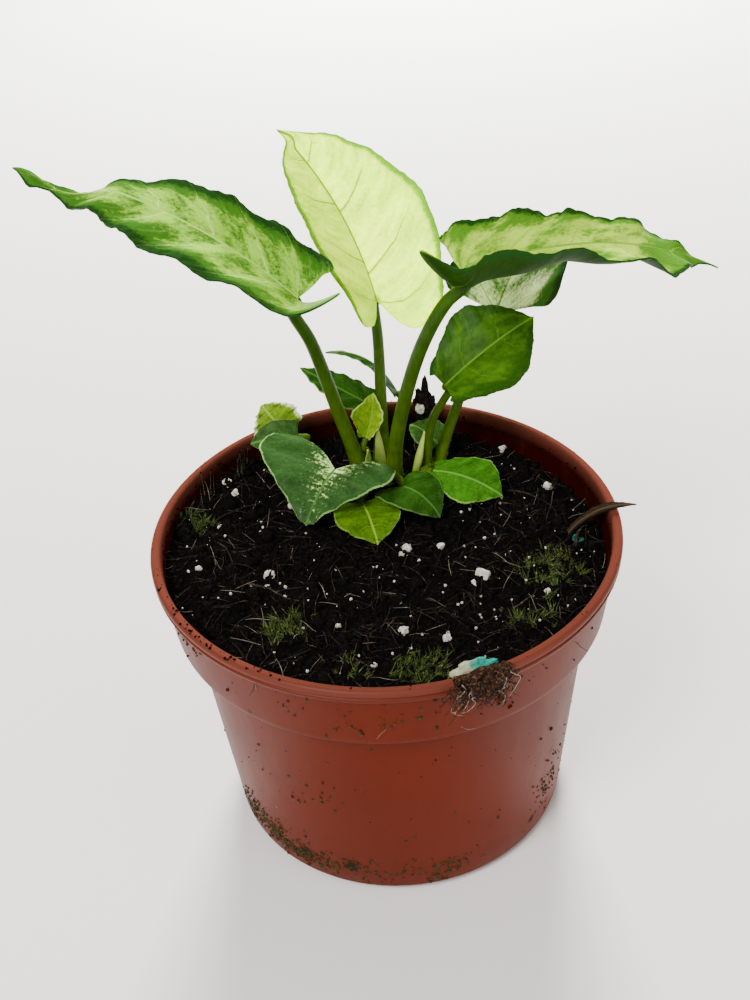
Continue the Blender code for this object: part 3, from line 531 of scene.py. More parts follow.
def make_blade(leaf):
    """Thin blade with a vein map, given its thickness and its two faces' finishes."""
    ribs = int(min(190, max(40, 2.3 * blade_length(leaf) / GRID_STEP)))
    steps = int(min(40, max(8, max(leaf.width) / GRID_STEP)))
    points, faces, corners = [], [], []
    for side in (0, 1):
        place, values = blade_grid(leaf, side, ribs, steps)
        first = len(points)
        points.extend(place)
        for quad in grid_faces(ribs + 1, steps + 1):
            quad = quad if side else quad[::-1]
            faces.append(tuple(first + k for k in quad))
            corners.extend(values[list(quad)])
    blade = mesh_from_points(leaf.name + "_fine", points, faces)
    corners = np.array(corners).astype(np.float32)
    for name, columns in (("veins", [0, 1]), ("span", [2, 1])):
        blade.data.uv_layers.new(name=name).data.foreach_set("uv", corners[:, columns].ravel())
    weld(blade, 0.03, turn=False)
    for _ in range(2):
        blade.data.materials.append(None)
    blade = thickened(blade, BLADE_THICKNESS)
    smooth(blade, 70)
    dress(blade, SKINS[leaf.skin], leaf.name, leaf.name)


# Crowns: place, radius, stretch along X, low end
CROWNS = {
    "main_stems": ((0.0, 34.0), 6.3, 1.2, 64.0),
    "right_stems": ((14.8, 36.0), 4.0, 1.05, 66.0),
    "rim_stems": ((-22.0, 42.5), 2.6, 1.1, 70.0),
}
CROWN_TOP_Z = 81.8
CROWN_ROUNDING = 2.6
CROWN_SIDES = 40
# Stalks of each crown: leaf, radius at foot and top, whether it runs on into the midrib, points going up
STALKS = {
    "main_stems": [
        ("left_leaf", 2.1, 1.4, False,
         [(-4.0, 34.0, 72.0), (-5.3, 34.2, 81.0), (-10.9, 30.0, 107.0), (-15.5, 24.6, 129.0)]),
        ("centre_leaf", 1.8, 1.3, False,
         [(1.0, 37.0, 72.0), (1.0, 38.2, 81.0), (1.5, 42.8, 99.0), (1.7, 48.6, 115.5)]),
        ("right_leaf", 2.1, 1.5, False,
         [(3.2, 32.4, 72.0), (3.6, 31.7, 81.0), (5.4, 27.4, 99.1), (11.9, 23.0, 125.5),
          (18.6, 21.0, 139.4)]),
        ("low_left_leaf", 1.1, 0.9, False, [(-3.5, 33.0, 75.0), (-5.0, 32.0, 82.5), (-8.5, 29.0, 85.5)]),
        ("low_centre_leaf", 1.0, 0.8, False, [(3.0, 31.5, 75.0), (3.6, 29.8, 82.0), (5.0, 24.0, 84.6)]),
        ("low_front_leaf", 1.0, 0.8, True, [(-1.5, 31.0, 75.0), (-2.2, 29.4, 81.8), (-4.4, 22.5, 83.2)]),
        ("young_leaf", 0.9, 0.7, True, [(-2.4, 36.0, 75.0), (-3.0, 36.2, 82.0), (-3.5, 36.1, 87.0)]),
        ("behind_left_leaf", 1.0, 0.8, True, [(-1.0, 37.0, 75.0), (-0.8, 38.0, 82.0), (0.6, 42.6, 92.0)]),
        ("behind_thin_leaf", 1.0, 0.8, True, [(2.6, 37.0, 75.0), (3.4, 38.2, 82.0), (6.2, 45.0, 91.0)]),
    ],
    "right_stems": [
        ("back_leaf", 1.5, 1.1, False,
         [(16.0, 37.0, 73.0), (16.8, 37.6, 81.0), (23.6, 44.0, 97.5), (29.6, 49.6, 108.5)]),
        ("middle_leaf", 1.3, 1.0, False, [(13.2, 35.4, 73.0), (13.0, 34.9, 81.0), (14.9, 33.6, 97.0)]),
        ("low_right_leaf", 0.9, 0.7, True, [(14.2, 35.0, 75.0), (13.8, 33.4, 81.8), (12.6, 28.6, 84.8)]),
        ("back_low_leaf", 0.9, 0.7, True, [(15.8, 37.0, 75.0), (16.2, 37.8, 81.8)]),
    ],
    "rim_stems": [
        ("rim_leaf", 0.8, 0.7, True, [(-21.4, 42.0, 75.0), (-21.0, 41.4, 83.5), (-20.6, 39.8, 89.0)]),
        ("frilled_leaf", 0.8, 0.7, True, [(-22.8, 43.2, 75.0), (-23.4, 43.8, 83.0)]),
    ],
}

# Roots of each crown: start and end
ROOTS = {
    "main_stems": [((-4.0, 33.0, 67.0), (-16.0, 22.0, 36.0)),
                   ((-1.0, 31.0, 67.0), (-4.0, 8.0, 28.0)),
                   ((4.0, 32.0, 67.0), (7.0, 16.0, 32.0))],
    "right_stems": [((16.5, 35.0, 69.0), (24.0, 20.0, 38.0)), ((14.8, 37.0, 69.0), (17.0, 32.0, 34.0))],
    "rim_stems": [((-22.0, 42.5, 72.0), (-24.0, 33.0, 48.0))],
}
ROOT_RADII = (1.2, 0.6)
ROOT_BEND = np.array([1.5, 2.0, 0.0])


@dataclass
class Skin:
    """Colours of one kind of leaf, as sRGB hex values."""
    base: str
    blotch: str                     # patches between the veins
    cover: float                    # how much of the blade the patches take, 0 to 1
    vein: str
    vein_width: float               # share of the distance between two veins
    midrib: str
    edge: str
    edge_width: float               # share of the half width
    under: str
    under_vein: str
    glow: float                     # share of light that comes through
    splash: str = ""                # pale patch along the midrib
    splash_reach: float = 0.0       # its reach in millimetres
    roughness: float = 0.42
    patch_scale: float = 1.6
    halo: float = 0.0               # how much the patches keep away from the veins
    dark_margin: float = 0.0        # how much they gather towards the margin
    soft: float = 0.1               # how gently they end
    dark_tip: float = 0.0           # vein number from which the tip darkens, 0 for none


def leaf_face(name, skin, under):
    """Living leaf: waxy skin over thin wet tissue, which light shines through.

    The UV map "veins" holds the vein phase and the share of the way out to the margin; "span" starts with the
    distance from the midrib in millimetres. Pale brush marks follow the veins and break up into fine grains.
    """
    look = Look(name)
    veins = look.node("UVMap", uv_map="veins")[0]
    phase, out, _ = look.axes(veins)
    reach = look.axes(look.node("UVMap", uv_map="span")[0])[0]
    patches = look.noise(look.stretched(veins, (1.0, 1.35, 1.0)), skin.patch_scale, 5.0, 0.62, 0.3)
    flecks = look.noise(look.place(), 1150.0, 4.0, 0.7)
    streaks = look.noise(look.stretched(veins, (9.0, 2.2, 1.0)), 1.0, 3.0)
    wander = look.weigh(patches, 0.35, phase)
    apart = look.math("PINGPONG", wander, 0.5)
    along = look.math("MODULO", phase, SIDE_PHASE)

    # Dark and pale patches
    blend = look.weigh(streaks, 0.3, look.weigh(flecks, 0.6, patches))
    blend = look.weigh(apart, skin.halo, blend)
    blend = look.math("ADD", look.ramp(out, 0.5, 1.0, 0.0, skin.dark_margin, soft=True), blend)
    if skin.dark_tip:
        tip = look.ramp(along, skin.dark_tip, skin.dark_tip + 1.2, 0.0, 0.5, soft=True)
        blend = look.math("ADD", tip, blend)
    level = 0.95 + 0.25 * skin.halo + 0.36 * (0.5 - skin.cover)
    patch = look.ramp(blend, level - skin.soft, level + skin.soft, soft=True)
    colour = look.mix(patch, skin.under, skin.under) if under else look.mix(patch, skin.base, skin.blotch)
    colour = look.toned(colour, look.ramp(look.math("ADD", flecks, streaks), 0.6, 1.4, 0.72, 1.28))
    if skin.splash and not under:
        near = look.weigh(reach, 0.3 / skin.splash_reach, look.ramp(along, 1.0, 3.2, 0.0, 0.5))
        near = look.weigh(streaks, -0.9, look.weigh(flecks, -1.3, near))
        colour = look.mix(look.ramp(near, -0.95, -0.64, 1.0, 0.0, soft=True), colour, skin.splash)

    # Coloured margin
    ragged = look.weigh(look.math("ADD", patches, flecks), 1.6 * skin.edge_width, out)
    edge = look.ramp(ragged, 1.0 + 0.4 * skin.edge_width, 1.0 + 1.1 * skin.edge_width, soft=True)
    colour = look.mix(edge, colour, skin.edge)

    # Side veins, the finer ones between them and the midrib
    width = look.ramp(out, 0.0, 1.0, skin.vein_width, 0.25 * skin.vein_width)
    fine = look.math("PINGPONG", look.weigh(wander, 3.0, streaks), 0.5)
    fine = look.ramp(fine, 0.0, 0.09, 4.0 * skin.vein_width, 0.0, soft=True)
    net = look.math("MAXIMUM", look.ramp(apart, 0.0, width, 1.0, 0.0, soft=True), fine)
    net = look.math("MULTIPLY", net, look.ramp(out, 0.5, 0.92, 1.0, 0.2, soft=True))
    rib = look.ramp(reach, 0.18, 0.5, 1.0, 0.0, soft=True)
    if skin.dark_tip:
        rib = look.weigh(tip, -1.8, rib, use_clamp=True)
    colour = look.mix(net, colour, skin.under_vein if under else skin.vein)
    colour = look.mix(rib, colour, skin.under_vein if under else skin.midrib)

    relief = look.weigh(look.math("MAXIMUM", net, rib), 1.2 if under else -0.9, flecks)
    bump = look.bump(relief, 0.55, 0.25)
    wax = look.surface(colour, skin.roughness + (0.15 if under else 0.0), 0.12, bump, {"IOR": TISSUE_IOR})
    light = look.node("BsdfTranslucent", {"Color": look.toned(colour, 1.2, 1.1), "Normal": bump})[0]
    return look.finish(look.node("MixShader", {0: skin.glow, 1: wax, 2: light})[0])


SKIN_COLOURS = {
    "cream_splash": Skin("#a8e040", "#3c7218", 0.43, "#d0f088", 0.03, "#b0da5c", "#17400f", 0.2,
                         "#7fae38", "#c4e48a", 0.20, halo=0.42, dark_margin=0.5, soft=0.17, patch_scale=2.1,
                         dark_tip=6.0),
    # Its very pale yellow partly paints the glow of light coming through the leaf, and its darker veins and
    # midrib paint the shade that veins make against that light
    "backlit_cream": Skin("#d8f438", "#f6ff7c", 0.58, "#88a034", 0.03, "#7a9a28", "#8cb424", 0.1,
                          "#d8f03c", "#a9c04c", 0.7, patch_scale=0.6, soft=0.2),
    # Its underside colour, far darker than its top, is partly the underside's own green and partly painted
    # shade on the rolled half of the right leaf
    "lime_splash": Skin("#c6ee45", "#528c1c", 0.34, "#a4d040", 0.03, "#84b22e", "#1a450f", 0.13,
                        "#203f03", "#55782c", 0.20, halo=0.4, dark_margin=0.34, soft=0.2, patch_scale=2.6,
                        dark_tip=4.8),
    "white_splash": Skin("#eef8c4", "#366423", 0.36, "#92b068", 0.03, "#7ea056", "#1e4716", 0.10,
                         "#cbe290", "#86a25c", 0.32, patch_scale=0.8, halo=0.3, dark_margin=0.34, soft=0.14),
    "mid_green": Skin("#4f8012", "#264c08", 0.5, "#5f8e1e", 0.025, "#72a02e", "#264a06", 0.06,
                      "#3c6208", "#7aa040", 0.16, halo=0.3, dark_margin=0.3, soft=0.28, patch_scale=3.0),
    "bright_green": Skin("#2a5a08", "#356c10", 0.45, "#487a22", 0.025, "#5c8c34", "#86b04c", 0.022,
                         "#2c5a08", "#649038", 0.14, soft=0.2),
    "dark_green": Skin("#1b3c07", "#264b0e", 0.42, "#34581a", 0.025, "#406824", "#5e8440", 0.016,
                       "#264810", "#507232", 0.10, soft=0.2),
    "splashed_dark": Skin("#29481c", "#36582a", 0.45, "#3c6429", 0.02, "#4a7434", "#8cb868", 0.02,
                          "#2c5014", "#608440", 0.10, splash="#cff494", splash_reach=6.5, soft=0.2),
    "yellow_green": Skin("#406608", "#56800c", 0.45, "#729c20", 0.035, "#8cb034", "#80a83c", 0.02,
                         "#44680c", "#7c9f30", 0.18, halo=0.3, soft=0.18),
    "young_green": Skin("#7a9e10", "#a0c420", 0.5, "#a2c230", 0.04, "#bcdc54", "#dcf08c", 0.05,
                        "#86a81c", "#bcd468", 0.30, soft=0.2),
    "frilled": Skin("#648614", "#88a826", 0.45, "#96b43a", 0.05, "#a2c048", "#e6efc4", 0.14,
                    "#749420", "#acc464", 0.22, halo=0.4, soft=0.18),
    "grey_green": Skin("#2b4a1b", "#3f6028", 0.45, "#486c2e", 0.025, "#5c8440", "#709454", 0.025,
                       "#365824", "#5a7e3c", 0.12, roughness=0.6, soft=0.2),
    "dead": Skin("#2c2217", "#1a130c", 0.5, "#3c3022", 0.05, "#3c3022", "#18110b", 0.06,
                 "#241c13", "#3a3020", 0.03, roughness=0.8),
}
SKINS = {name: (leaf_face("leaf_upper_" + name, skin, False), leaf_face("leaf_under_" + name, skin, True))
         for name, skin in SKIN_COLOURS.items()}


def stalk_skin(name, foot, top, foot_z=82.0, top_z=130.0):
    """Leaf stalk: smooth juicy green with fine ridges along it, paler where its sheath leaves the soil."""
    look = Look(name)
    place = look.place()
    lines = look.noise(look.stretched(place, (1.0, 1.0, 0.12)), 1400.0, 3.0)
    spots = look.noise(place, 260.0, 4.0)
    colour = look.mix(look.ramp(look.axes(place)[2], foot_z * MM, top_z * MM), foot, top)
    colour = look.toned(colour, look.ramp(look.math("ADD", lines, spots), 0.7, 1.3, 0.75, 1.25))
    inside = {"IOR": TISSUE_IOR, "Subsurface Weight": 0.12, "Subsurface Radius": (0.6, 1.0, 0.3),
              "Subsurface Scale": MM}
    return look.finish(look.surface(colour, 0.4, 0.2, look.bump(lines, 0.35, 0.2), inside))


def rough_skin(name, colours, scale, roughness=0.9, relief=0.4, shine=0.2):
    """Matt natural stuff, such as peat, bark, perlite or moss: three tones in patches of 1 / scale metres."""
    look = Look(name)
    place = look.place()
    broad = look.noise(place, scale, 6.0, 0.65)
    small = look.noise(place, 4.3 * scale, 6.0)
    colour = look.mix(look.ramp(broad, 0.38, 0.6), colours[0], colours[1])
    colour = look.mix(look.ramp(small, 0.52, 0.68), colour, colours[2])
    bump = look.bump(look.weigh(small, 0.5, broad), 0.8, relief)
    return look.finish(look.surface(colour, roughness, shine, bump))


def mould_skin():
    """Wood chip under mould: cream at its left end, turquoise at its right one."""
    look = Look("mouldy_wood_chip")
    place = look.place()
    wool = look.noise(place, 420.0, 6.0, 0.7)
    share = look.ramp(look.weigh(wool, 9.0 * MM, look.axes(place)[0]), 20.2 * MM, 22.2 * MM, soft=True)
    colour = look.mix(share, look.mix(wool, "#5c5c3c", "#d4d4b4"), look.mix(wool, "#044a3e", "#36b09c"))
    return look.finish(look.surface(colour, 0.85, 0.2, look.bump(wool, 0.8, 0.4)))


def pot_plastic():
    """Moulded polypropylene in terracotta brown: satin, scuffed, with algae and soil low on the wall, painted
    shade inside the collar and a painted highlight on the lip.
    """
    look = Look("moulded_polypropylene_terracotta")
    place = look.place()
    x, y, z = look.axes(place)
    flat = look.node("CombineXYZ", {0: x, 1: y})[0]
    radius = look.node("VectorMath", {0: flat}, operation="LENGTH")["Value"]

    # Plain plastic, with painted shade inside the collar and a painted highlight on the lip
    broad = look.noise(place, 28.0, 5.0)
    # Painted shade: the inside of the collar is coloured dark red, darker than the same plastic outside
    leaning = look.weigh(z, -WALL_SLOPE, radius)
    inside = look.ramp(leaning, WALL_MIDDLE * MM, (WALL_MIDDLE + 0.2) * MM, 1.0, 0.0)
    inside = look.math("MULTIPLY", inside, look.ramp(z, 69.5 * MM, 72.0 * MM))
    colour = look.mix(inside, look.mix(broad, "#4c1302", "#641d04"), "#260402")
    # Painted highlight: the lip is paled towards its top to stand for the glints of light along it
    colour = look.mix(look.ramp(z, 84.2 * MM, 87.4 * MM, 0.0, 0.7), colour, "#66352a")

    # Scuffs
    scuffs = look.noise(look.stretched(place, (1.0, 1.0, 0.2)), 190.0, 8.0, 0.7)
    colour = look.mix(look.ramp(scuffs, 0.55, 0.85, 0.0, 0.22), colour, "#6e3422")

    # Algae in a band round the foot, most of it at the left
    from_band = look.math("ABSOLUTE", look.math("SUBTRACT", z, 9.0 * MM))
    band = look.ramp(from_band, 0.0, 16.0 * MM, 0.16, -0.08)
    grime = look.math("ADD", look.noise(place, 150.0, 9.0, 0.72), band)
    grime = look.math("ADD", grime, look.ramp(x, -46.0 * MM, 20.0 * MM, 0.1, -0.03))
    grime = look.ramp(grime, 0.70, 0.78, soft=True)
    colour = look.mix(grime, colour, look.mix(broad, "#26260d", "#150e08"))

    # Specks of soil
    specks = look.node("TexVoronoi", {"Vector": place, "Scale": 150.0, "Randomness": 1.0})["Distance"]
    size = look.ramp(look.noise(place, 45.0, 2.0), 0.5, 0.75, 0.0, 0.13)
    colour = look.mix(look.math("LESS_THAN", specks, size), colour, "#1c120c")

    dull = look.weigh(scuffs, 0.2, look.weigh(grime, 0.45, 0.33))
    bump = look.bump(look.weigh(grime, 2.5, scuffs), 0.3, 0.12)
    return look.finish(look.surface(colour, dull, 0.09, bump, {"IOR": PLASTIC_IOR}))


POT_PLASTIC = pot_plastic()
PEAT = rough_skin("moist_peat", ("#020202", "#060504", "#100c08"), 330.0, 0.9, 0.6, 0.06)
PEAT_CRUMB = rough_skin("peat_crumbs", ("#020202", "#080605", "#17110c"), 420.0, 0.9, 0.3, 0.07)
PERLITE = rough_skin("expanded_perlite", ("#a8a497", "#d2cfc4", "#78735f"), 700.0, 0.8, 0.3)
FIBRE = rough_skin("peat_fibres", ("#120d09", "#28201a", "#4c4238"), 260.0, 0.85, 0.1)
PALE_FIBRE = rough_skin("dry_straw", ("#5a5246", "#7d7466", "#a39a86"), 260.0, 0.8, 0.1)
MOSS = rough_skin("cushion_moss", ("#1f2a0e", "#3f4f1e", "#75803f"), 380.0, 0.75, 0.1)
ALGAE = rough_skin("dried_moss_and_algae", ("#26230e", "#403c1a", "#120f0a"), 500.0, 0.85, 0.2)
BARK = rough_skin("composted_bark", ("#050403", "#100b08", "#2a2018"), 260.0, 0.9, 0.6, 0.15)
MOULD = mould_skin()
MOULD_FILM = rough_skin("green_mould", ("#03261e", "#08493c", "#2a8f7a"), 500.0, 0.85, 0.3)
ROOT_TANGLE = rough_skin("tangled_roots_and_peat", ("#120a06", "#2c1a10", "#5e4232"), 420.0, 0.9, 0.4, 0.12)
STALK = stalk_skin("living_stalk", "#46600c", "#2c4c04")
SPEAR = stalk_skin("rolled_young_leaf", "#5f8018", "#c8dc70", 82.0, 92.0)
SHEATH = stalk_skin("dry_sheath", "#5c7020", "#9cac54", 82.0, 90.0)
WHISKER = rough_skin("moss_fruit_stalks", ("#2c2c1c", "#565640", "#8c8c74"), 300.0, 0.7, 0.05)
ROOT = rough_skin("young_roots", ("#8a7a5a", "#b8a885", "#6d5c40"), 300.0, 0.8, 0.1)


# Lumps of peat and perlite pressed into the top of the soil: place and radius
SOIL_LUMPS = [
    (23.3, -16.5, 2.0), (-42.4, 30.0, 1.6), (-29.7, -11.6, 1.7), (5.2, -2.6, 1.5), (13.9, -2.7, 1.3),
    (2.4, -35.0, 1.6), (12.5, -38.1, 1.4), (34.8, 41.0, 1.7), (45.0, 22.0, 1.6), (-38.0, -20.0, 2.0),
    (38.0, -14.0, 2.2), (-14.0, -40.0, 2.0), (-20.0, -24.0, 2.2), (30.0, 8.0, 1.8),
]
# Perlite grains that show: place and radius
PERLITE_GRAINS = [
    (23.3, -16.5, 1.7), (21.4, -17.6, 1.0), (-42.4, 30.0, 1.2), (-40.1, 26.0, 1.0), (-29.7, -11.6, 1.3),
    (-30.5, -13.4, 0.9), (5.2, -2.6, 1.2), (3.8, -3.6, 0.8), (13.9, -2.7, 1.0), (2.4, -35.0, 1.1),
    (3.0, -32.6, 0.8), (12.5, -38.1, 1.0), (34.8, 41.0, 1.3), (45.0, 22.0, 1.2), (-43.5, 12.0, 0.8),
    (-10.0, 8.0, 0.7), (-13.0, -30.0, 0.7), (31.0, -6.0, 0.9), (38.5, -22.0, 0.8), (-25.0, 20.0, 0.8),
    (2.0, -22.0, 0.9), (-5.0, -45.0, 0.8), (28.0, 24.0, 0.8), (-48.0, -6.0, 0.8),
]
# Moss patches on the soil: place, radius and share of the points that it takes
MOSS_PATCHES = [(-24.4, -31.0, 6.0, 1.0), (5.5, -47.0, 7.5, 1.0), (41.1, -12.0, 9.0, 0.45),
                (-50.0, 14.0, 5.0, 0.7), (34.0, -30.0, 7.0, 0.4), (-8.0, -46.0, 6.0, 0.35)]


def ripple(x, y, scale, layer):
    """Smooth noise over the soil, from -1 to 1."""
    return noise.noise(Vector((x * scale, y * scale, layer)))


def crown_gap(x, y):
    """Distance to the nearest crown."""
    return min(hypot(x - centre[0], y - centre[1]) - radius for centre, radius, _, _ in CROWNS.values())


def soil_height(x, y):
    """Top of the soil: higher at the left and front, with uneven mounds away from the crowns."""
    level = SOIL_LEVEL - 0.025 * y - 0.026 * x
    mounds = 1.5 * ripple(x, y, 0.055, 3.7) + 0.8 * ripple(x, y, 0.14, 8.1)
    calm = min(max(crown_gap(x, y) / CALM_REACH, 0.0), 1.0)
    return level + mounds * calm


def soil_surface(x, y):
    """Soil height with its lumps and crumbly relief."""
    height = soil_height(x, y)
    for lump_x, lump_y, radius in SOIL_LUMPS:
        apart = hypot(x - lump_x, y - lump_y) / (1.15 * radius)
        if apart < 1:
            rise = radius * (0.25 + 0.75 * sqrt(1 - apart ** 2))
            height = max(height, soil_height(lump_x, lump_y) + rise)
    for size, scale, layer in SOIL_RELIEF:
        height += size * ripple(x, y, scale, layer)
    return height


def inner_radius(z):
    """Inside of the pot wall at a height."""
    if z >= SHELF_Z:
        return 55.3 + (57.4 - 55.3) * (z - SHELF_Z - 1.0) / (86.9 - SHELF_Z - 1.0)
    return BASE_RADIUS - WALL + (BODY_TOP_RADIUS - BASE_RADIUS) * (z - 4.4) / (68.4 - 4.4)


def body_wall(shares):
    """Outside of the pot's body at shares of its height."""
    return [(BASE_RADIUS + (BODY_TOP_RADIUS - BASE_RADIUS) * t, 3.4 + 63.4 * t) for t in shares]


def make_pot():
    """Lathed wall, collar, lip and foot with their small moulded steps, and the drain holes."""
    body, base, foot, under = BODY_TOP_RADIUS, BASE_RADIUS, FOOT_RING_RADIUS, COLLAR_BOTTOM_Z
    profile = [(0, 0), (14, 0), (16, 2), (foot - 3, 2), (foot - 1, 0), (foot + 1, 0), (foot + 2, 1.6),
               (base - 1.6, 1.8), (base - 0.7, 2.2), (base - 0.15, 2.8), (base, 3.4)]
    profile += body_wall(np.linspace(0.1, 0.98, 10))
    profile += list(smooth_path([(body, under - 1.2), (body + 0.3, under - 0.5), (body + 1.1, under - 0.1),
                                 (55.9, under), (56.45, under + 0.25), (56.65, under + 0.7)], 3))
    profile += [(56.7 + (58.45 - 56.7) * t, 69.0 + 14.2 * t) for t in np.linspace(0.06, 0.94, 9)]
    profile += list(smooth_path(LIP_PROFILE, 3))
    profile += [(55.3, SHELF_Z + 1.0), (54.6, SHELF_Z + 0.3), (51.5, SHELF_Z), (body - WALL, 68.4),
                (base - WALL, FLOOR_TOP_Z + 1.0), (base - 2.4, FLOOR_TOP_Z), (16, FLOOR_TOP_Z), (13.5, 1.4),
                (0, 1.4)]
    pot = lathe("pot_fine", profile, POT_SIDES)
    drills = []
    for i in range(DRAIN_HOLES):
        angle = 2 * pi * (i + 0.5) / DRAIN_HOLES
        place = Vector((cos(angle), sin(angle), 0)) * DRAIN_CIRCLE_RADIUS * MM
        bpy.ops.mesh.primitive_cylinder_add(vertices=32, radius=DRAIN_HOLE_RADIUS * MM, depth=15 * MM,
                                            location=place)
        drills.append(bpy.context.object)
    drill = joined(drills, "drill")
    cut = pot.modifiers.new("Drain holes", "BOOLEAN")
    cut.operation = "DIFFERENCE"
    cut.object = drill
    pot = baked(pot, "pot_fine")
    bpy.data.objects.remove(drill, do_unlink=True)
    smooth(pot, 32)
    dress(pot, [POT_PLASTIC], "pot", "pot")


def make_soil():
    """Filled body of moist peat with a crumbly top. Returns a copy of its top for what lies there."""
    angles = [2 * pi * sector / SOIL_SECTORS for sector in range(SOIL_SECTORS)]
    top_radius = inner_radius(80.0) - GAP
    points = [(0.0, 0.0, soil_surface(0.0, 0.0))]
    for ring in range(1, SOIL_RINGS + 1):
        radius = top_radius * (ring / SOIL_RINGS) ** RING_CROWDING
        for angle in angles:
            x, y, _ = polar(radius, angle, 0.0)
            height = min(soil_surface(x, y), SOIL_TOP_LIMIT)
            if ring == SOIL_RINGS:
                height = height - 0.5
                fit = (inner_radius(height) - GAP) / top_radius
                x, y = x * fit, y * fit
            points.append((x, y, height))
    top_points = len(points)
    lower = [(54.9, SHELF_Z + 1.2), (54.2, SHELF_Z + 0.6), (51.1, SHELF_Z + 0.3),
             (inner_radius(68.0) - GAP, 68.0), (inner_radius(6.0) - GAP, 6.0),
             (BASE_RADIUS - 3.2, FLOOR_TOP_Z + GAP)]
    points += [polar(radius, angle, height) for radius, height in lower for angle in angles]
    rings = SOIL_RINGS + len(lower)
    top_faces, faces = [], []
    for sector in range(SOIL_SECTORS):
        after = (sector + 1) % SOIL_SECTORS
        top_faces.append((0, 1 + sector, 1 + after))
        for ring in range(rings - 1):
            a = 1 + ring * SOIL_SECTORS + sector
            b = 1 + ring * SOIL_SECTORS + after
            target = top_faces if ring < SOIL_RINGS - 1 else faces
            target.append((a, a + SOIL_SECTORS, b + SOIL_SECTORS, b))
    last = 1 + (rings - 1) * SOIL_SECTORS
    faces.append(tuple(range(last, last + SOIL_SECTORS))[::-1])
    ground = mesh_from_points("ground", points[:top_points], top_faces)
    soil = mesh_from_points("soil_fine", points, top_faces + faces)
    smooth(soil, 60)
    dress(soil, [PEAT], "soil", "soil")
    return ground


def crumb(name, radius, seed, rounds=1, flat=1.0, rough=0.5):
    """One grain: a small ball pushed out of round. With no rounds it has 40 faces."""
    if rounds:
        bpy.ops.mesh.primitive_ico_sphere_add(subdivisions=rounds, radius=radius * MM)
    else:
        bpy.ops.mesh.primitive_uv_sphere_add(segments=8, ring_count=5, radius=radius * MM)
    grain = bpy.context.object
    grain.name = name
    for vertex in grain.data.vertices:
        bump = 1 + rough * noise.noise(vertex.co / (radius * MM) * 1.3 + Vector((seed, 0, seed * 1.7)))
        vertex.co *= bump
        vertex.co.z *= flat
    if rounds != 1:
        grain.data.shade_smooth()
    return grain


def crumbs(name, count, radius, seed, step, *shape):
    """Grains of one kind that differ in their seeds."""
    return [crumb("%s_%d" % (name, i), radius, seed + i * step, *shape) for i in range(count)]


def thread(name, length, radius, bend, seed, stations=7):
    """One bent fibre that lies along X."""
    draw = random.Random(seed)
    turns = [draw.uniform(-1, 1) for _ in range(6)]
    shares = np.linspace(-0.5, 0.5, stations)
    path = [(length * t, bend * length * (turns[0] * sin(3 * t) + 0.4 * turns[1] * cos(7 * t)),
             0.35 * bend * length * (turns[2] * sin(4 * t + 1) + 0.5)) for t in shares]
    return tube(name, path, [radius * (1 - 0.5 * abs(2 * t)) for t in shares], 6)


def threads(name, count, length, radius, bend, seed):
    """Fibres of one kind that differ in their seeds."""
    return [thread("%s_%d" % (name, i), length, radius, bend, seed + i) for i in range(count)]


def moss_tuft(name, seed, blades=9, height=2.6):
    """One tuft: pointed three-sided blades that lean out of a common foot."""
    draw = random.Random(seed)
    points, faces = [], []
    for _ in range(blades):
        turn, lean = draw.uniform(0, 2 * pi), draw.uniform(0.1, 0.8)
        tall, wide = height * draw.uniform(0.5, 1.2), draw.uniform(0.12, 0.2)
        foot = (draw.uniform(-0.7, 0.7), draw.uniform(-0.7, 0.7))
        first = len(points)
        for level in (0.0, 0.55):
            for corner in range(3):
                angle = turn + corner * THIRD_TURN
                spread = wide * (1 - 0.5 * level)
                points.append((foot[0] + lean * tall * level * cos(turn) + spread * cos(angle),
                               foot[1] + lean * tall * level * sin(turn) + spread * sin(angle),
                               tall * level - 0.3))
        points.append((foot[0] + lean * tall * 1.1 * cos(turn),
                       foot[1] + lean * tall * 1.1 * sin(turn), tall * 0.9))
        for k in range(3):
            after = (k + 1) % 3
            faces.append((first + k, first + after, first + 3 + after, first + 3 + k))
            faces.append((first + 3 + k, first + 3 + after, first + 6))
        faces.append((first + 2, first + 1, first))
    return mesh_from_points(name, points, faces)


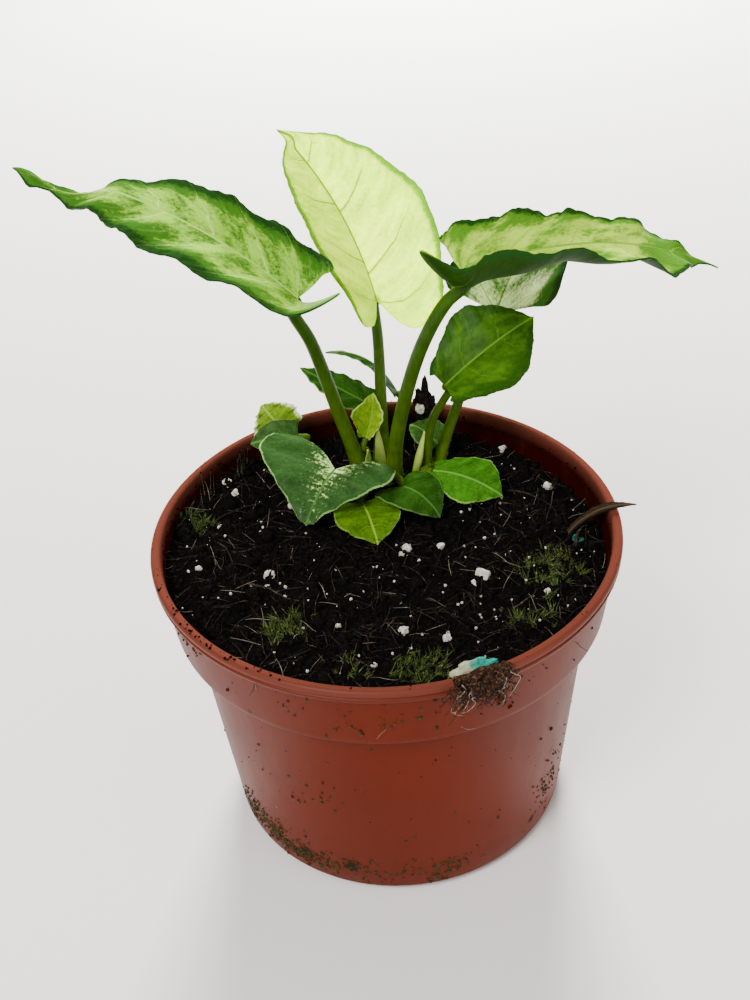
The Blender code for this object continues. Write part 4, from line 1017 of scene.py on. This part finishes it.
def scatter_tree(name, sources, material, density, sizes, tilt, lift, mask, seed):
    """Geometry nodes that strew copies of the source objects over a surface."""
    tree = bpy.data.node_groups.new(name, "GeometryNodeTree")
    for way in ("INPUT", "OUTPUT"):
        tree.interface.new_socket("Geometry", in_out=way, socket_type="NodeSocketGeometry")

    def node(kind, inputs=None, **settings):
        return add(tree, kind, inputs, **settings).outputs

    given = node("NodeGroupInput")[0]
    share = node("GeometryNodeInputNamedAttribute", {"Name": mask}, data_type="FLOAT")[0]
    thick = node("ShaderNodeMath", {0: share, 1: density * PER_SQUARE_CM}, operation="MULTIPLY")[0]
    spots = node("GeometryNodeDistributePointsOnFaces", {"Mesh": given, "Density": thick, "Seed": seed})
    group = node("GeometryNodeCollectionInfo",
                 {"Collection": sources, "Separate Children": True, "Reset Children": True})[0]
    size = node("FunctionNodeRandomValue", {2: sizes[0], 3: sizes[1], "Seed": seed}, data_type="FLOAT")[1]
    turn = node("FunctionNodeRandomValue", {0: (-tilt, -tilt, 0.0), 1: (tilt, tilt, 2 * pi),
                                            "Seed": seed}, data_type="FLOAT_VECTOR")[0]
    spin = node("FunctionNodeEulerToRotation", {0: turn})[0]
    rotation = node("FunctionNodeRotateRotation", {0: spots["Rotation"], 1: spin}, rotation_space="LOCAL")[0]
    offset = node("ShaderNodeVectorMath", {0: spots["Normal"], "Scale": lift * MM}, operation="SCALE")[0]
    raised = node("GeometryNodeSetPosition", {"Geometry": spots["Points"], "Offset": offset})[0]
    copies = node("GeometryNodeInstanceOnPoints", {"Points": raised, "Instance": group, "Pick Instance": True,
                                                   "Rotation": rotation, "Scale": size})[0]
    solid = node("GeometryNodeRealizeInstances", {0: copies})[0]
    coat = node("GeometryNodeSetMaterial", {"Geometry": solid, "Material": material})[0]
    node("NodeGroupOutput", {0: coat})
    return tree


def scatter(name, surface, sources, material, slot, density, sizes, tilt=0.4, lift=0.0, mask="everywhere",
            seed=SEED):
    """One piece of many small copies strewn over a surface. density is in copies per square centimetre.

    Each copy is scaled by a draw between the two sizes, leans by up to tilt in radians and lies lift
    millimetres over the surface. mask names the painted share that thins them out.
    """
    group = bpy.data.collections.new(name + "_sources")
    bpy.context.scene.collection.children.link(group)
    for source in sources:
        for owner in list(source.users_collection):
            owner.objects.unlink(source)
        group.objects.link(source)
    carrier = new_object(name, surface.data.copy())
    strew = carrier.modifiers.new("Scatter", "NODES")
    strew.node_group = scatter_tree(name + "_tree", group, material, density, sizes, tilt, lift, mask, seed)
    piece = baked(carrier, name)
    for source in sources:
        bpy.data.objects.remove(source, do_unlink=True)
    bpy.data.collections.remove(group)
    dress(piece, None, slot)


def paint(surface, name, value):
    """Stores a number from 0 to 1 at each point of a surface. value takes a point in millimetres."""
    attribute = surface.data.attributes.new(name, "FLOAT", "POINT")
    attribute.data.foreach_set("value", [value(v.co / MM) for v in surface.data.vertices])


def moss_share(point):
    """How much of a place moss takes: its patches with a broken edge, 0 to 1."""
    share = 0.0
    for x, y, radius, most in MOSS_PATCHES:
        apart = hypot(point.x - x, point.y - y) / radius
        share = max(share, most * max(0.0, 1.15 - apart))
    return min(1.0, share) * (0.4 + 0.6 * (noise.noise(point * 0.5) > -0.1))


def make_litter(ground):
    """What lies on the soil: crumbs, perlite, fibres and moss."""
    paint(ground, "everywhere", lambda point: float(crown_gap(point.x, point.y) > 0.5))
    paint(ground, "moss", moss_share)
    scatter("peat_crumbs", ground, crumbs("crumb", 4, 0.55, 0, 3.1), PEAT_CRUMB, "soil", 55.0, (0.4, 1.7),
            tilt=3.0)
    scatter("peat_lumps", ground, crumbs("lump", 4, 1.5, 20, 2.3, 0, 0.8, 0.9), PEAT_CRUMB, "soil", 5.5,
            (0.45, 1.3), tilt=3.0, seed=SEED + 1)
    scatter("perlite_dust", ground, crumbs("grain", 3, 0.3, 50, 1.9), PERLITE, "soil", 2.4, (0.3, 1.6),
            tilt=3.0, lift=0.3, seed=SEED + 2)
    scatter("peat_fibres", ground, threads("fibre", 5, 7.0, 0.08, 0.3, 70), FIBRE, "soil", 7.0, (0.4, 1.5),
            tilt=0.35, lift=0.5, seed=SEED + 3)
    scatter("pale_roots", ground, threads("pale", 3, 6.0, 0.055, 0.22, 80), PALE_FIBRE, "soil", 1.2,
            (0.4, 1.4), lift=0.7, seed=SEED + 7)
    scatter("moss", ground, [moss_tuft("tuft_%d" % i, 90 + i) for i in range(4)], MOSS, "soil", 85.0,
            (0.4, 1.35), tilt=0.7, lift=0.2, mask="moss", seed=SEED + 4)
    grains = [moved(crumb("perlite_%d" % i, radius, 30 + i * 1.7, 3, 0.85, 0.55),
                    (x, y, soil_surface(x, y) + 0.35 * radius))
              for i, (x, y, radius) in enumerate(PERLITE_GRAINS)]
    grains.append(moved(crumb("perlite_on_bark", 1.4, 9.0, 3, 0.9, 0.55), (12.4, 49.7, 91.0)))
    dress(joined(grains, "perlite_grains"), [PERLITE], "soil")
    bpy.data.objects.remove(ground, do_unlink=True)


def make_crown(name):
    """Swollen foot of one plantlet, rounded at its top and at its low end in the soil."""
    (x, y), r, stretch, low = CROWNS[name]
    shoulder = CROWN_TOP_Z - CROWN_ROUNDING
    profile = [(0, low), (0.55 * r, low + 0.4), (0.92 * r, low + 3.0), (r, low + 7.0), (r, shoulder)]
    profile += [(r * cos(a), shoulder + CROWN_ROUNDING * sin(a)) for a in np.linspace(0.25, 1.4, 6)]
    profile.append((0, CROWN_TOP_Z))
    crown = lathe(name + "_crown", profile, CROWN_SIDES)
    crown.data.transform(Matrix.Translation(Vector((x, y, 0)) * MM) @ Matrix.Diagonal((stretch, 1, 1, 1)))
    smooth(crown, 70)
    return crown


def stalk_path(leaf, points, top_radius, in_line):
    """Stalk points, the last ones turned to meet the blade from below or in line with its midrib."""
    place, ahead, normal, _, _ = (value[0] for value in blade_frames(leaf, np.array([0.0])))
    reach = max(2.6, 2.0 * top_radius)
    if in_line:
        return smooth_path(points + [place - ahead * (reach + 0.4), place - ahead * 0.1], 8, 0.5)
    drop = 0.5 * BLADE_THICKNESS + 0.05
    return smooth_path(points + [place - normal * (drop + reach), place - normal * drop], 8, 0.5)


def make_stems(name):
    """Crown, stalks and roots of one plantlet."""
    by_name = {leaf.name: leaf for leaf in LEAVES}
    pieces = [coated(make_crown(name), STALK)]
    for leaf_name, foot_radius, top_radius, in_line, points in STALKS[name]:
        path = stalk_path(by_name[leaf_name], points, top_radius, in_line)
        share = np.linspace(0, 1, len(path))
        radii = foot_radius + (top_radius - foot_radius) * share
        radii = radii + 0.35 * foot_radius * np.exp(-np.maximum(path[:, 2] - SOIL_LEVEL, 0) / 6.0)
        radii = radii + 0.18 * top_radius * np.exp(-(1 - share) * 22)
        pieces.append(coated(tube(leaf_name + "_stalk", path, radii), STALK))
    for start, end in ROOTS[name]:
        start, end = np.array(start), np.array(end)
        path = smooth_path([start, start + (end - start) * 0.35 - ROOT_BEND,
                            start + (end - start) * 0.7 + ROOT_BEND * 0.4, end], 5)
        pieces.append(coated(tube(name + "_root", path, np.linspace(*ROOT_RADII, len(path)), 10), ROOT))
    dress(joined(pieces, name + "_fine"), None, name, name)


def make_chunk(name, centre, half_sizes, material, seed, rough, turn=0.0, layers=0.0):
    """Rough lump of bark or wood seated just above the soil, cut up by cracks along its length."""
    bpy.ops.mesh.primitive_ico_sphere_add(subdivisions=5, radius=1.0)
    chunk = bpy.context.object
    cosine, sine = cos(radians(turn)), sin(radians(turn))
    for vertex in chunk.data.vertices:
        place = vertex.co.copy()
        bump = 1.0 + rough * noise.noise(place * 1.9 + Vector((seed, 0, 0)))
        bump += 0.16 * noise.noise(place * 5.0 + Vector((0, seed, 0)))
        bump -= layers * abs(noise.noise(Vector((place.x * 2.0, place.y * 6.0, place.z * 6.0 + seed))))
        x, y, z = (place[k] * half_sizes[k] * bump for k in range(3))
        x, y = x * cosine - y * sine + centre[0], x * sine + y * cosine + centre[1]
        z = max(z + centre[2], soil_height(x, y) + GAP + 0.02 * (place.z + 1))
        vertex.co = (x * MM, y * MM, z * MM)
    smooth(chunk)
    chunk.name = chunk.data.name = name + "_fine"
    dress(chunk, [material], name, name)


def clump_body():
    """Lump swept round the front of the lip, thick in its middle. The side on the lip keeps its shape."""
    section = smooth_path(CLUMP_SECTION, 5)[:-1]
    count = len(section)
    points = []
    for i in range(CLUMP_STEPS + 1):
        u = -1 + 2 * i / CLUMP_STEPS
        swell = max(0.0, 1 - u * u) ** 0.8 * 0.97 + 0.03
        for k, (radius, height) in enumerate(section):
            bump = 0.35 * noise.noise(Vector((u * 2.3, k * 0.2, 1.3)))
            bump = bump + 0.25 * noise.noise(Vector((u * 9, k * 0.6, 4)))
            free = 0.0 if height < 88.6 and radius < 60.8 else 1.0
            radius = radius + free * ((radius - 60.4) * (swell - 1) + bump * 2.0 * swell)
            if height > 88.4:
                height = 88.4 + (height - 88.4) * swell * (1 + bump)
            else:
                height = 88.4 + (height - 88.4) * swell
            radius = max(radius, 60.25) if height < 88.2 else radius
            points.append(polar(radius, CLUMP_MIDDLE + CLUMP_HALF_ANGLE * u, height))
    faces = [(a, d, c, b) for a, b, c, d in grid_faces(CLUMP_STEPS + 1, count, True)]
    faces.append(tuple(range(count)))
    faces.append(tuple(range(CLUMP_STEPS * count, (CLUMP_STEPS + 1) * count))[::-1])
    clump = mesh_from_points("clump", points, faces)
    weld(clump)
    smooth(clump, 60)
    return clump


def make_rim_clump():
    """Crumb of soil and roots caught over the front of the lip, with threads that hang from it."""
    pieces = [coated(clump_body(), ROOT_TANGLE)]
    draw = random.Random(SEED + 9)
    for i in range(CLUMP_THREADS):
        angle = CLUMP_MIDDLE + CLUMP_HALF_ANGLE * draw.uniform(-1.2, 1.1)
        radius, height = draw.uniform(61.0, 62.3), draw.uniform(84.0, 90.0)
        outward = np.array([cos(angle), sin(angle), 0.0])
        sideways = np.array([-sin(angle), cos(angle), 0.0])
        path = [outward * radius + np.array([0, 0, height])]
        for _ in range(4):
            step = sideways * draw.uniform(-1.9, 1.5) + outward * draw.uniform(-0.1, 0.4)
            path.append(path[-1] + step + np.array([0, 0, -draw.uniform(-0.3, 2.2)]))
            path[-1][:2] *= max(1.0, 60.9 / float(np.hypot(path[-1][0], path[-1][1])))
        hanging = tube("hanging_thread", smooth_path(path, 4), np.linspace(0.14, 0.06, 17), 6)
        pieces.append(coated(hanging, PALE_FIBRE if i % 6 == 0 else ROOT_TANGLE))
    for i in range(CLUMP_GRAINS):
        angle = CLUMP_MIDDLE + CLUMP_HALF_ANGLE * draw.uniform(-1.0, 1.0)
        radius, height = draw.uniform(59.0, 62.4), draw.uniform(84.5, 90.2)
        height = max(height, 88.9) if radius < 61.3 else height
        grain = crumb("clump_grain", draw.uniform(0.35, 0.9), i * 1.3, 2, 0.9, 0.7)
        pieces.append(coated(moved(grain, polar(radius, angle, height)), ROOT_TANGLE))
    dress(joined(pieces, "rim_clump_fine"), None, "rim_clump", "rim_clump")


def make_rolled_leaf():
    """Pale spear of a leaf that has not opened."""
    path = smooth_path(ROLLED_LEAF_PATH, 10, 0.5)
    radii = np.interp(np.linspace(0, 3, len(path)), range(4), ROLLED_LEAF_RADII)
    dress(tube("rolled_leaf_fine", path, radii), [SPEAR], "rolled_leaf", "rolled_leaf")


def make_rim_crumbs():
    """Crumbs of soil on the lip and splashed against the inside of the wall."""
    draw = random.Random(SEED + 5)
    pieces = []
    for _ in range(LIP_GRAINS):
        gathered = draw.random() < 0.5
        angle = radians(draw.gauss(-145, 16) if gathered else draw.uniform(0, 360))
        radius = draw.uniform(58.1, 59.6)
        size = draw.uniform(0.1, 0.42) if gathered else draw.uniform(0.08, 0.2)
        grain = crumb("rim_grain", size, draw.uniform(0, 90), 1, 0.8, 0.7)
        pieces.append(moved(grain, polar(radius, angle, POT_HEIGHT + 0.35 * size)))
    for _ in range(WALL_GRAINS):
        angle = draw.uniform(0, 2 * pi)
        height = 84.0 + 2.4 * draw.random() ** 2
        grain = crumb("wall_grain", draw.uniform(0.12, 0.4), draw.uniform(0, 90), 1, 1.0, 0.7)
        pieces.append(moved(grain, polar(inner_radius(height) - 0.1, angle, height)))
    dress(joined(pieces, "rim_crumbs"), [PEAT_CRUMB], "pot")


def wall_grime(point):
    """Where moss and soil stick to the outside of the wall. Each patch has an angle, a height and a reach."""
    angle = degrees(atan2(point.y, point.x))
    share = 0.0
    for middle, height, wide, tall, most in WALL_PATCHES:
        share += most * exp(-((angle - middle) / wide) ** 2 - ((point.z - height) / tall) ** 2)
    lumps = 0.25 + 0.75 * (noise.noise(point * 0.35 + Vector((3, 0, 0))) > 0.0)
    return min(1.0, share * lumps) + THIN_GRIME


def make_wall_litter():
    """Bits of moss, soil and straw stuck to the outside of the pot, on its body and on its collar."""
    body = body_wall(np.linspace(0, 1, 40))
    collar = [(57.0 + 1.4 * t, 70.0 + 13.0 * t) for t in np.linspace(0, 1, 12)]
    points = [polar(radius, 2 * pi * k / WALL_SIDES, height) for radius, height in body + collar
              for k in range(WALL_SIDES)]
    open_row = len(body) - 1
    faces = [face for face in grid_faces(len(body + collar), WALL_SIDES, True)
             if face[0] // WALL_SIDES != open_row]
    wall = mesh_from_points("wall", points, faces)
    paint(wall, "grime", wall_grime)
    paint(wall, "everywhere", lambda point: 1.0)
    scatter("wall_moss", wall, crumbs("wall_bit", 4, 0.36, 5, 2.1, 1, 0.6, 0.9), ALGAE, "pot", 190.0,
            (0.4, 1.6), tilt=0.6, lift=0.02, mask="grime", seed=SEED + 11)
    scatter("wall_specks", wall, crumbs("speck", 3, 0.2, 8, 1, 1, 0.6, 0.6), PEAT_CRUMB, "pot", 0.4,
            (0.3, 1.4), tilt=0.6, lift=0.02, seed=SEED + 12)
    scatter("wall_straw", wall, threads("straw", 4, 4.0, 0.05, 0.2, 60), PALE_FIBRE, "pot", 0.16,
            (0.2, 1.3), tilt=0.05, lift=0.08, seed=SEED + 13)
    bpy.data.objects.remove(wall, do_unlink=True)


def make_whiskers():
    """Moss fruits along the left of the back rim: fine stalks with small dark heads."""
    draw = random.Random(SEED + 6)
    pieces = []
    for _ in range(WHISKERS):
        middle, reach = draw.choice(WHISKER_TUFTS)
        angle, radius = radians(middle + draw.gauss(0, reach)), draw.uniform(52.8, 55.6)
        x, y, _ = polar(radius, angle, 0.0)
        foot = np.array([x, y, soil_height(x, y)])
        lean = np.array([draw.uniform(-0.3, 2.4), draw.uniform(-2.4, 0.4), 0.0])
        tall = draw.uniform(3.5, 9.5)
        path = [foot, foot + 0.3 * lean + [0, 0, 0.5 * tall], foot + 1.0 * lean + [0, 0, tall]]
        stem = tube("whisker", smooth_path(path, 3), np.linspace(0.06, 0.035, 7), 6)
        head = moved(crumb("whisker_head", 0.26, draw.uniform(0, 50), 1, 1.5, 0.2), path[-1])
        pieces.extend((coated(stem, WHISKER), coated(head, PEAT_CRUMB)))
    dress(joined(pieces, "moss_fruits"), None, "soil")


def make_twigs():
    """Longer bits of root and straw that lie across the soil."""
    pieces = []
    for number, (start, end, radius, rise) in enumerate(TWIGS):
        start, end = np.array([*start, 0.0]), np.array([*end, 0.0])
        across = np.array([start[1] - end[1], end[0] - start[0], 0.0]) * 0.1
        path = []
        for t in np.linspace(0, 1, 6):
            place = start + (end - start) * t + across * sin(3.0 * t + number)
            place[2] = soil_surface(place[0], place[1]) + radius + rise * sin(pi * t)
            path.append(place)
        pieces.append(tube("twig", smooth_path(path, 5), np.linspace(radius, 0.6 * radius, 26), 8))
    dress(joined(pieces, "twigs"), [FIBRE], "soil")


def make_sheaths():
    """Pale dry sheaths that hug the feet of the big stalks."""
    pieces = []
    wide, high = SHEATH_GRID
    for x, y, radius, turn, tall in SHEATHS:
        points = []
        for t in [j / high for j in range(high + 1)]:
            spread = 0.45 * (1 - t ** 1.6) + 0.02
            for u in [-1 + 2 * i / wide for i in range(wide + 1)]:
                angle = radians(turn) + u * spread * 1.5
                out = radius * (1 + 0.05 * u * u + 0.22 * t) + 0.12 * sin(5 * t + 4 * u)
                points.append((x + out * cos(angle), y + out * sin(angle), SHEATH_FOOT_Z + tall * t))
        sheet = mesh_from_points("sheath", points, grid_faces(high + 1, wide + 1))
        sheath = thickened(sheet, SHEATH_THICKNESS)
        weld(sheath)
        smooth(sheath, 60)
        pieces.append(sheath)
    dress(joined(pieces, "sheaths"), [SHEATH], "main_stems")


def make_mould_fleck():
    """Fleck of mouldy wood on the soil beside the dead leaf."""
    x, y = 49.6, -0.5
    fleck = moved(crumb("mould_fleck", 1.3, 3.0, 3, 0.5, 0.8), (x, y, soil_surface(x, y) + 0.4))
    dress(fleck, [MOULD_FILM], "mouldy_chip")


def make_floor():
    """Pale matt paper to stand on."""
    bpy.ops.mesh.primitive_plane_add(size=6.0)
    floor = bpy.context.object
    floor.name = "floor"
    paper = Look("matt_paper")
    matt = paper.node("BsdfPrincipled", {"Base Color": linear("#e9e7e3"), "Roughness": 0.85})[0]
    coated(floor, paper.finish(matt))


def make_lights():
    """Soft room light, a broad key from the left, a low fill and, behind, a light that leaves no shine."""
    world = bpy.data.worlds.new("room")
    world.use_nodes = True
    background = world.node_tree.nodes["Background"]
    background.inputs[0].default_value = linear("#fff7ec")
    background.inputs[1].default_value = 0.5
    bpy.context.scene.world = world
    for name, place, size, power in LIGHTS:
        lamp = bpy.data.lights.new(name, "AREA")
        lamp.shape = "DISK"
        lamp.size = size
        lamp.energy = power
        light = new_object(name, lamp)
        light.location = place
        light.rotation_euler = (Vector(LIGHT_AIM) - Vector(place)).to_track_quat("-Z", "Y").to_euler()
        light.visible_glossy = name != "behind"


def make_camera():
    """The photo's viewpoint: raised, looking down at the middle of the plant and rolled a little."""
    tilt = radians(CAMERA_ELEVATION)
    back = Vector((0.0, -cos(tilt), sin(tilt)))
    up = Vector((0.0, sin(tilt), cos(tilt)))
    roll = radians(CAMERA_ROLL)
    right = Vector((cos(roll), 0, 0)) + up * sin(roll)
    top = up * cos(roll) - Vector((sin(roll), 0, 0))
    place = (Vector(CAMERA_TARGET) + back * CAMERA_DISTANCE) * MM
    lens = bpy.data.cameras.new("camera")
    lens.lens = CAMERA_LENS
    camera = new_object("camera", lens)
    camera.matrix_world = Matrix([(right[k], top[k], back[k], place[k]) for k in range(3)] + [(0, 0, 0, 1)])
    bpy.context.scene.camera = camera


# Rim clump: its section as (radius, height), its middle and half its width as angles round the pot
CLUMP_SECTION = [(57.9, 88.35), (60.4, 88.35), (60.4, 84.0), (61.5, 83.2), (62.6, 85.0), (62.2, 88.2),
                 (60.8, 90.2), (58.6, 89.7), (57.9, 88.35)]
CLUMP_MIDDLE = radians(-71.5)
CLUMP_HALF_ANGLE = radians(6.2)
CLUMP_STEPS = 60
CLUMP_THREADS = 110
CLUMP_GRAINS = 26
# Grains on the lip and inside the wall
LIP_GRAINS = 90
WALL_GRAINS = 260
WHISKERS = 16
WALL_SIDES = 120
THIN_GRIME = 0.002          # what sticks to the wall outside its patches
SHEATH_GRID = (14, 16)      # steps round and up
SHEATH_FOOT_Z = 80.6
SHEATH_THICKNESS = 0.3
ROLLED_LEAF_PATH = [(9.3, 31.2, 72.0), (9.6, 31.6, 80.0), (10.9, 32.2, 86.5), (12.6, 32.6, 94.2)]
ROLLED_LEAF_RADII = (1.0, 1.15, 1.1, 0.25)
# Tufts of moss fruits: angle round the pot and reach, in degrees
WHISKER_TUFTS = [(136.0, 1.6), (151.0, 3.0), (158.0, 3.5)]
# Twigs on the soil: start, end, radius, rise of the middle
TWIGS = [
    ((48.5, -3.0), (53.0, 4.0), 0.5, 1.0), ((-36.0, -14.0), (-22.0, -20.0), 0.3, 0.6),
    ((-8.0, -32.0), (6.0, -28.0), 0.25, 0.5), ((26.0, -30.0), (36.0, -20.0), 0.3, 0.5),
    ((-20.0, 12.0), (-34.0, 20.0), 0.25, 0.8), ((30.0, 26.0), (44.0, 14.0), 0.3, 0.6),
    ((10.0, -46.0), (24.0, -42.0), 0.25, 0.6), ((-46.0, 6.0), (-38.0, -6.0), 0.25, 0.4),
]
# Grime on the wall: angle in degrees, height, reach in degrees and in millimetres, and how thick it lies
WALL_PATCHES = [
    (-148.0, 13.0, 8.0, 5.0, 0.8), (-136.0, 11.0, 8.0, 4.5, 1.0), (-125.0, 9.0, 7.0, 3.5, 1.0),
    (-115.0, 8.5, 5.0, 3.0, 0.9), (-104.0, 10.0, 4.5, 2.8, 1.0), (-97.0, 7.5, 3.0, 2.0, 0.3),
    (-89.0, 9.5, 4.0, 2.8, 0.7), (-82.0, 8.0, 3.5, 3.6, 0.8), (-74.5, 9.5, 4.5, 2.6, 1.0),
    (-36.0, 19.0, 5.0, 6.0, 0.7), (-112.0, 79.0, 8.0, 2.5, 0.22), (-99.0, 74.0, 8.0, 2.0, 0.25),
    (-86.0, 78.0, 5.0, 2.5, 0.12), (-150.0, 82.0, 6.0, 3.0, 0.6), (-66.0, 80.0, 7.0, 5.0, 0.4),
    (-120.0, 36.0, 8.0, 4.0, 0.15), (-106.0, 42.0, 6.0, 3.0, 0.15),
]
# Sheaths: place, radius, direction they face in degrees, height
SHEATHS = [(-5.6, 33.2, 2.6, -40.0, 10.0), (1.0, 38.8, 2.4, -110.0, 14.0)]
# Lights: place in metres, size, power
LIGHTS = [
    ("key", (-0.55, -0.75, 1.15), 0.6, 25.0),
    ("fill", (0.9, -0.6, 0.5), 0.8, 5.0),
    ("behind", (0.1, 1.1, 0.5), 0.5, 60.0),
]
LEAF_SCRAP = Leaf("leaf_scrap", (47.5, 1.0, 80.9), (64.5, 0.5, 88.9), (1.7, 1.4), belly=(0.5, 0.5), foot=0.8,
                  arch=2.9, ruffle=(0.1, 0.1), waves=3, skin="dead", crinkle=0.25, ragged=0.25)


def main():
    make_pot()
    make_litter(make_soil())
    for name in CROWNS:
        make_stems(name)
    for leaf in LEAVES + [LEAF_SCRAP]:
        make_blade(leaf)
    make_rolled_leaf()
    make_chunk("bark_clump", (14.0, 51.4, 88.5), (3.2, 2.0, 9.2), BARK, 1.0, 0.5, layers=0.35)
    make_chunk("mouldy_chip", (17.6, -51.5, 84.9), (5.4, 2.4, 2.4), MOULD, 4.0, 0.3, turn=18.0, layers=0.3)
    make_rim_clump()
    make_rim_crumbs()
    make_wall_litter()
    make_whiskers()
    make_twigs()
    make_mould_fleck()
    make_sheaths()
    make_floor()
    make_lights()
    make_camera()


main()
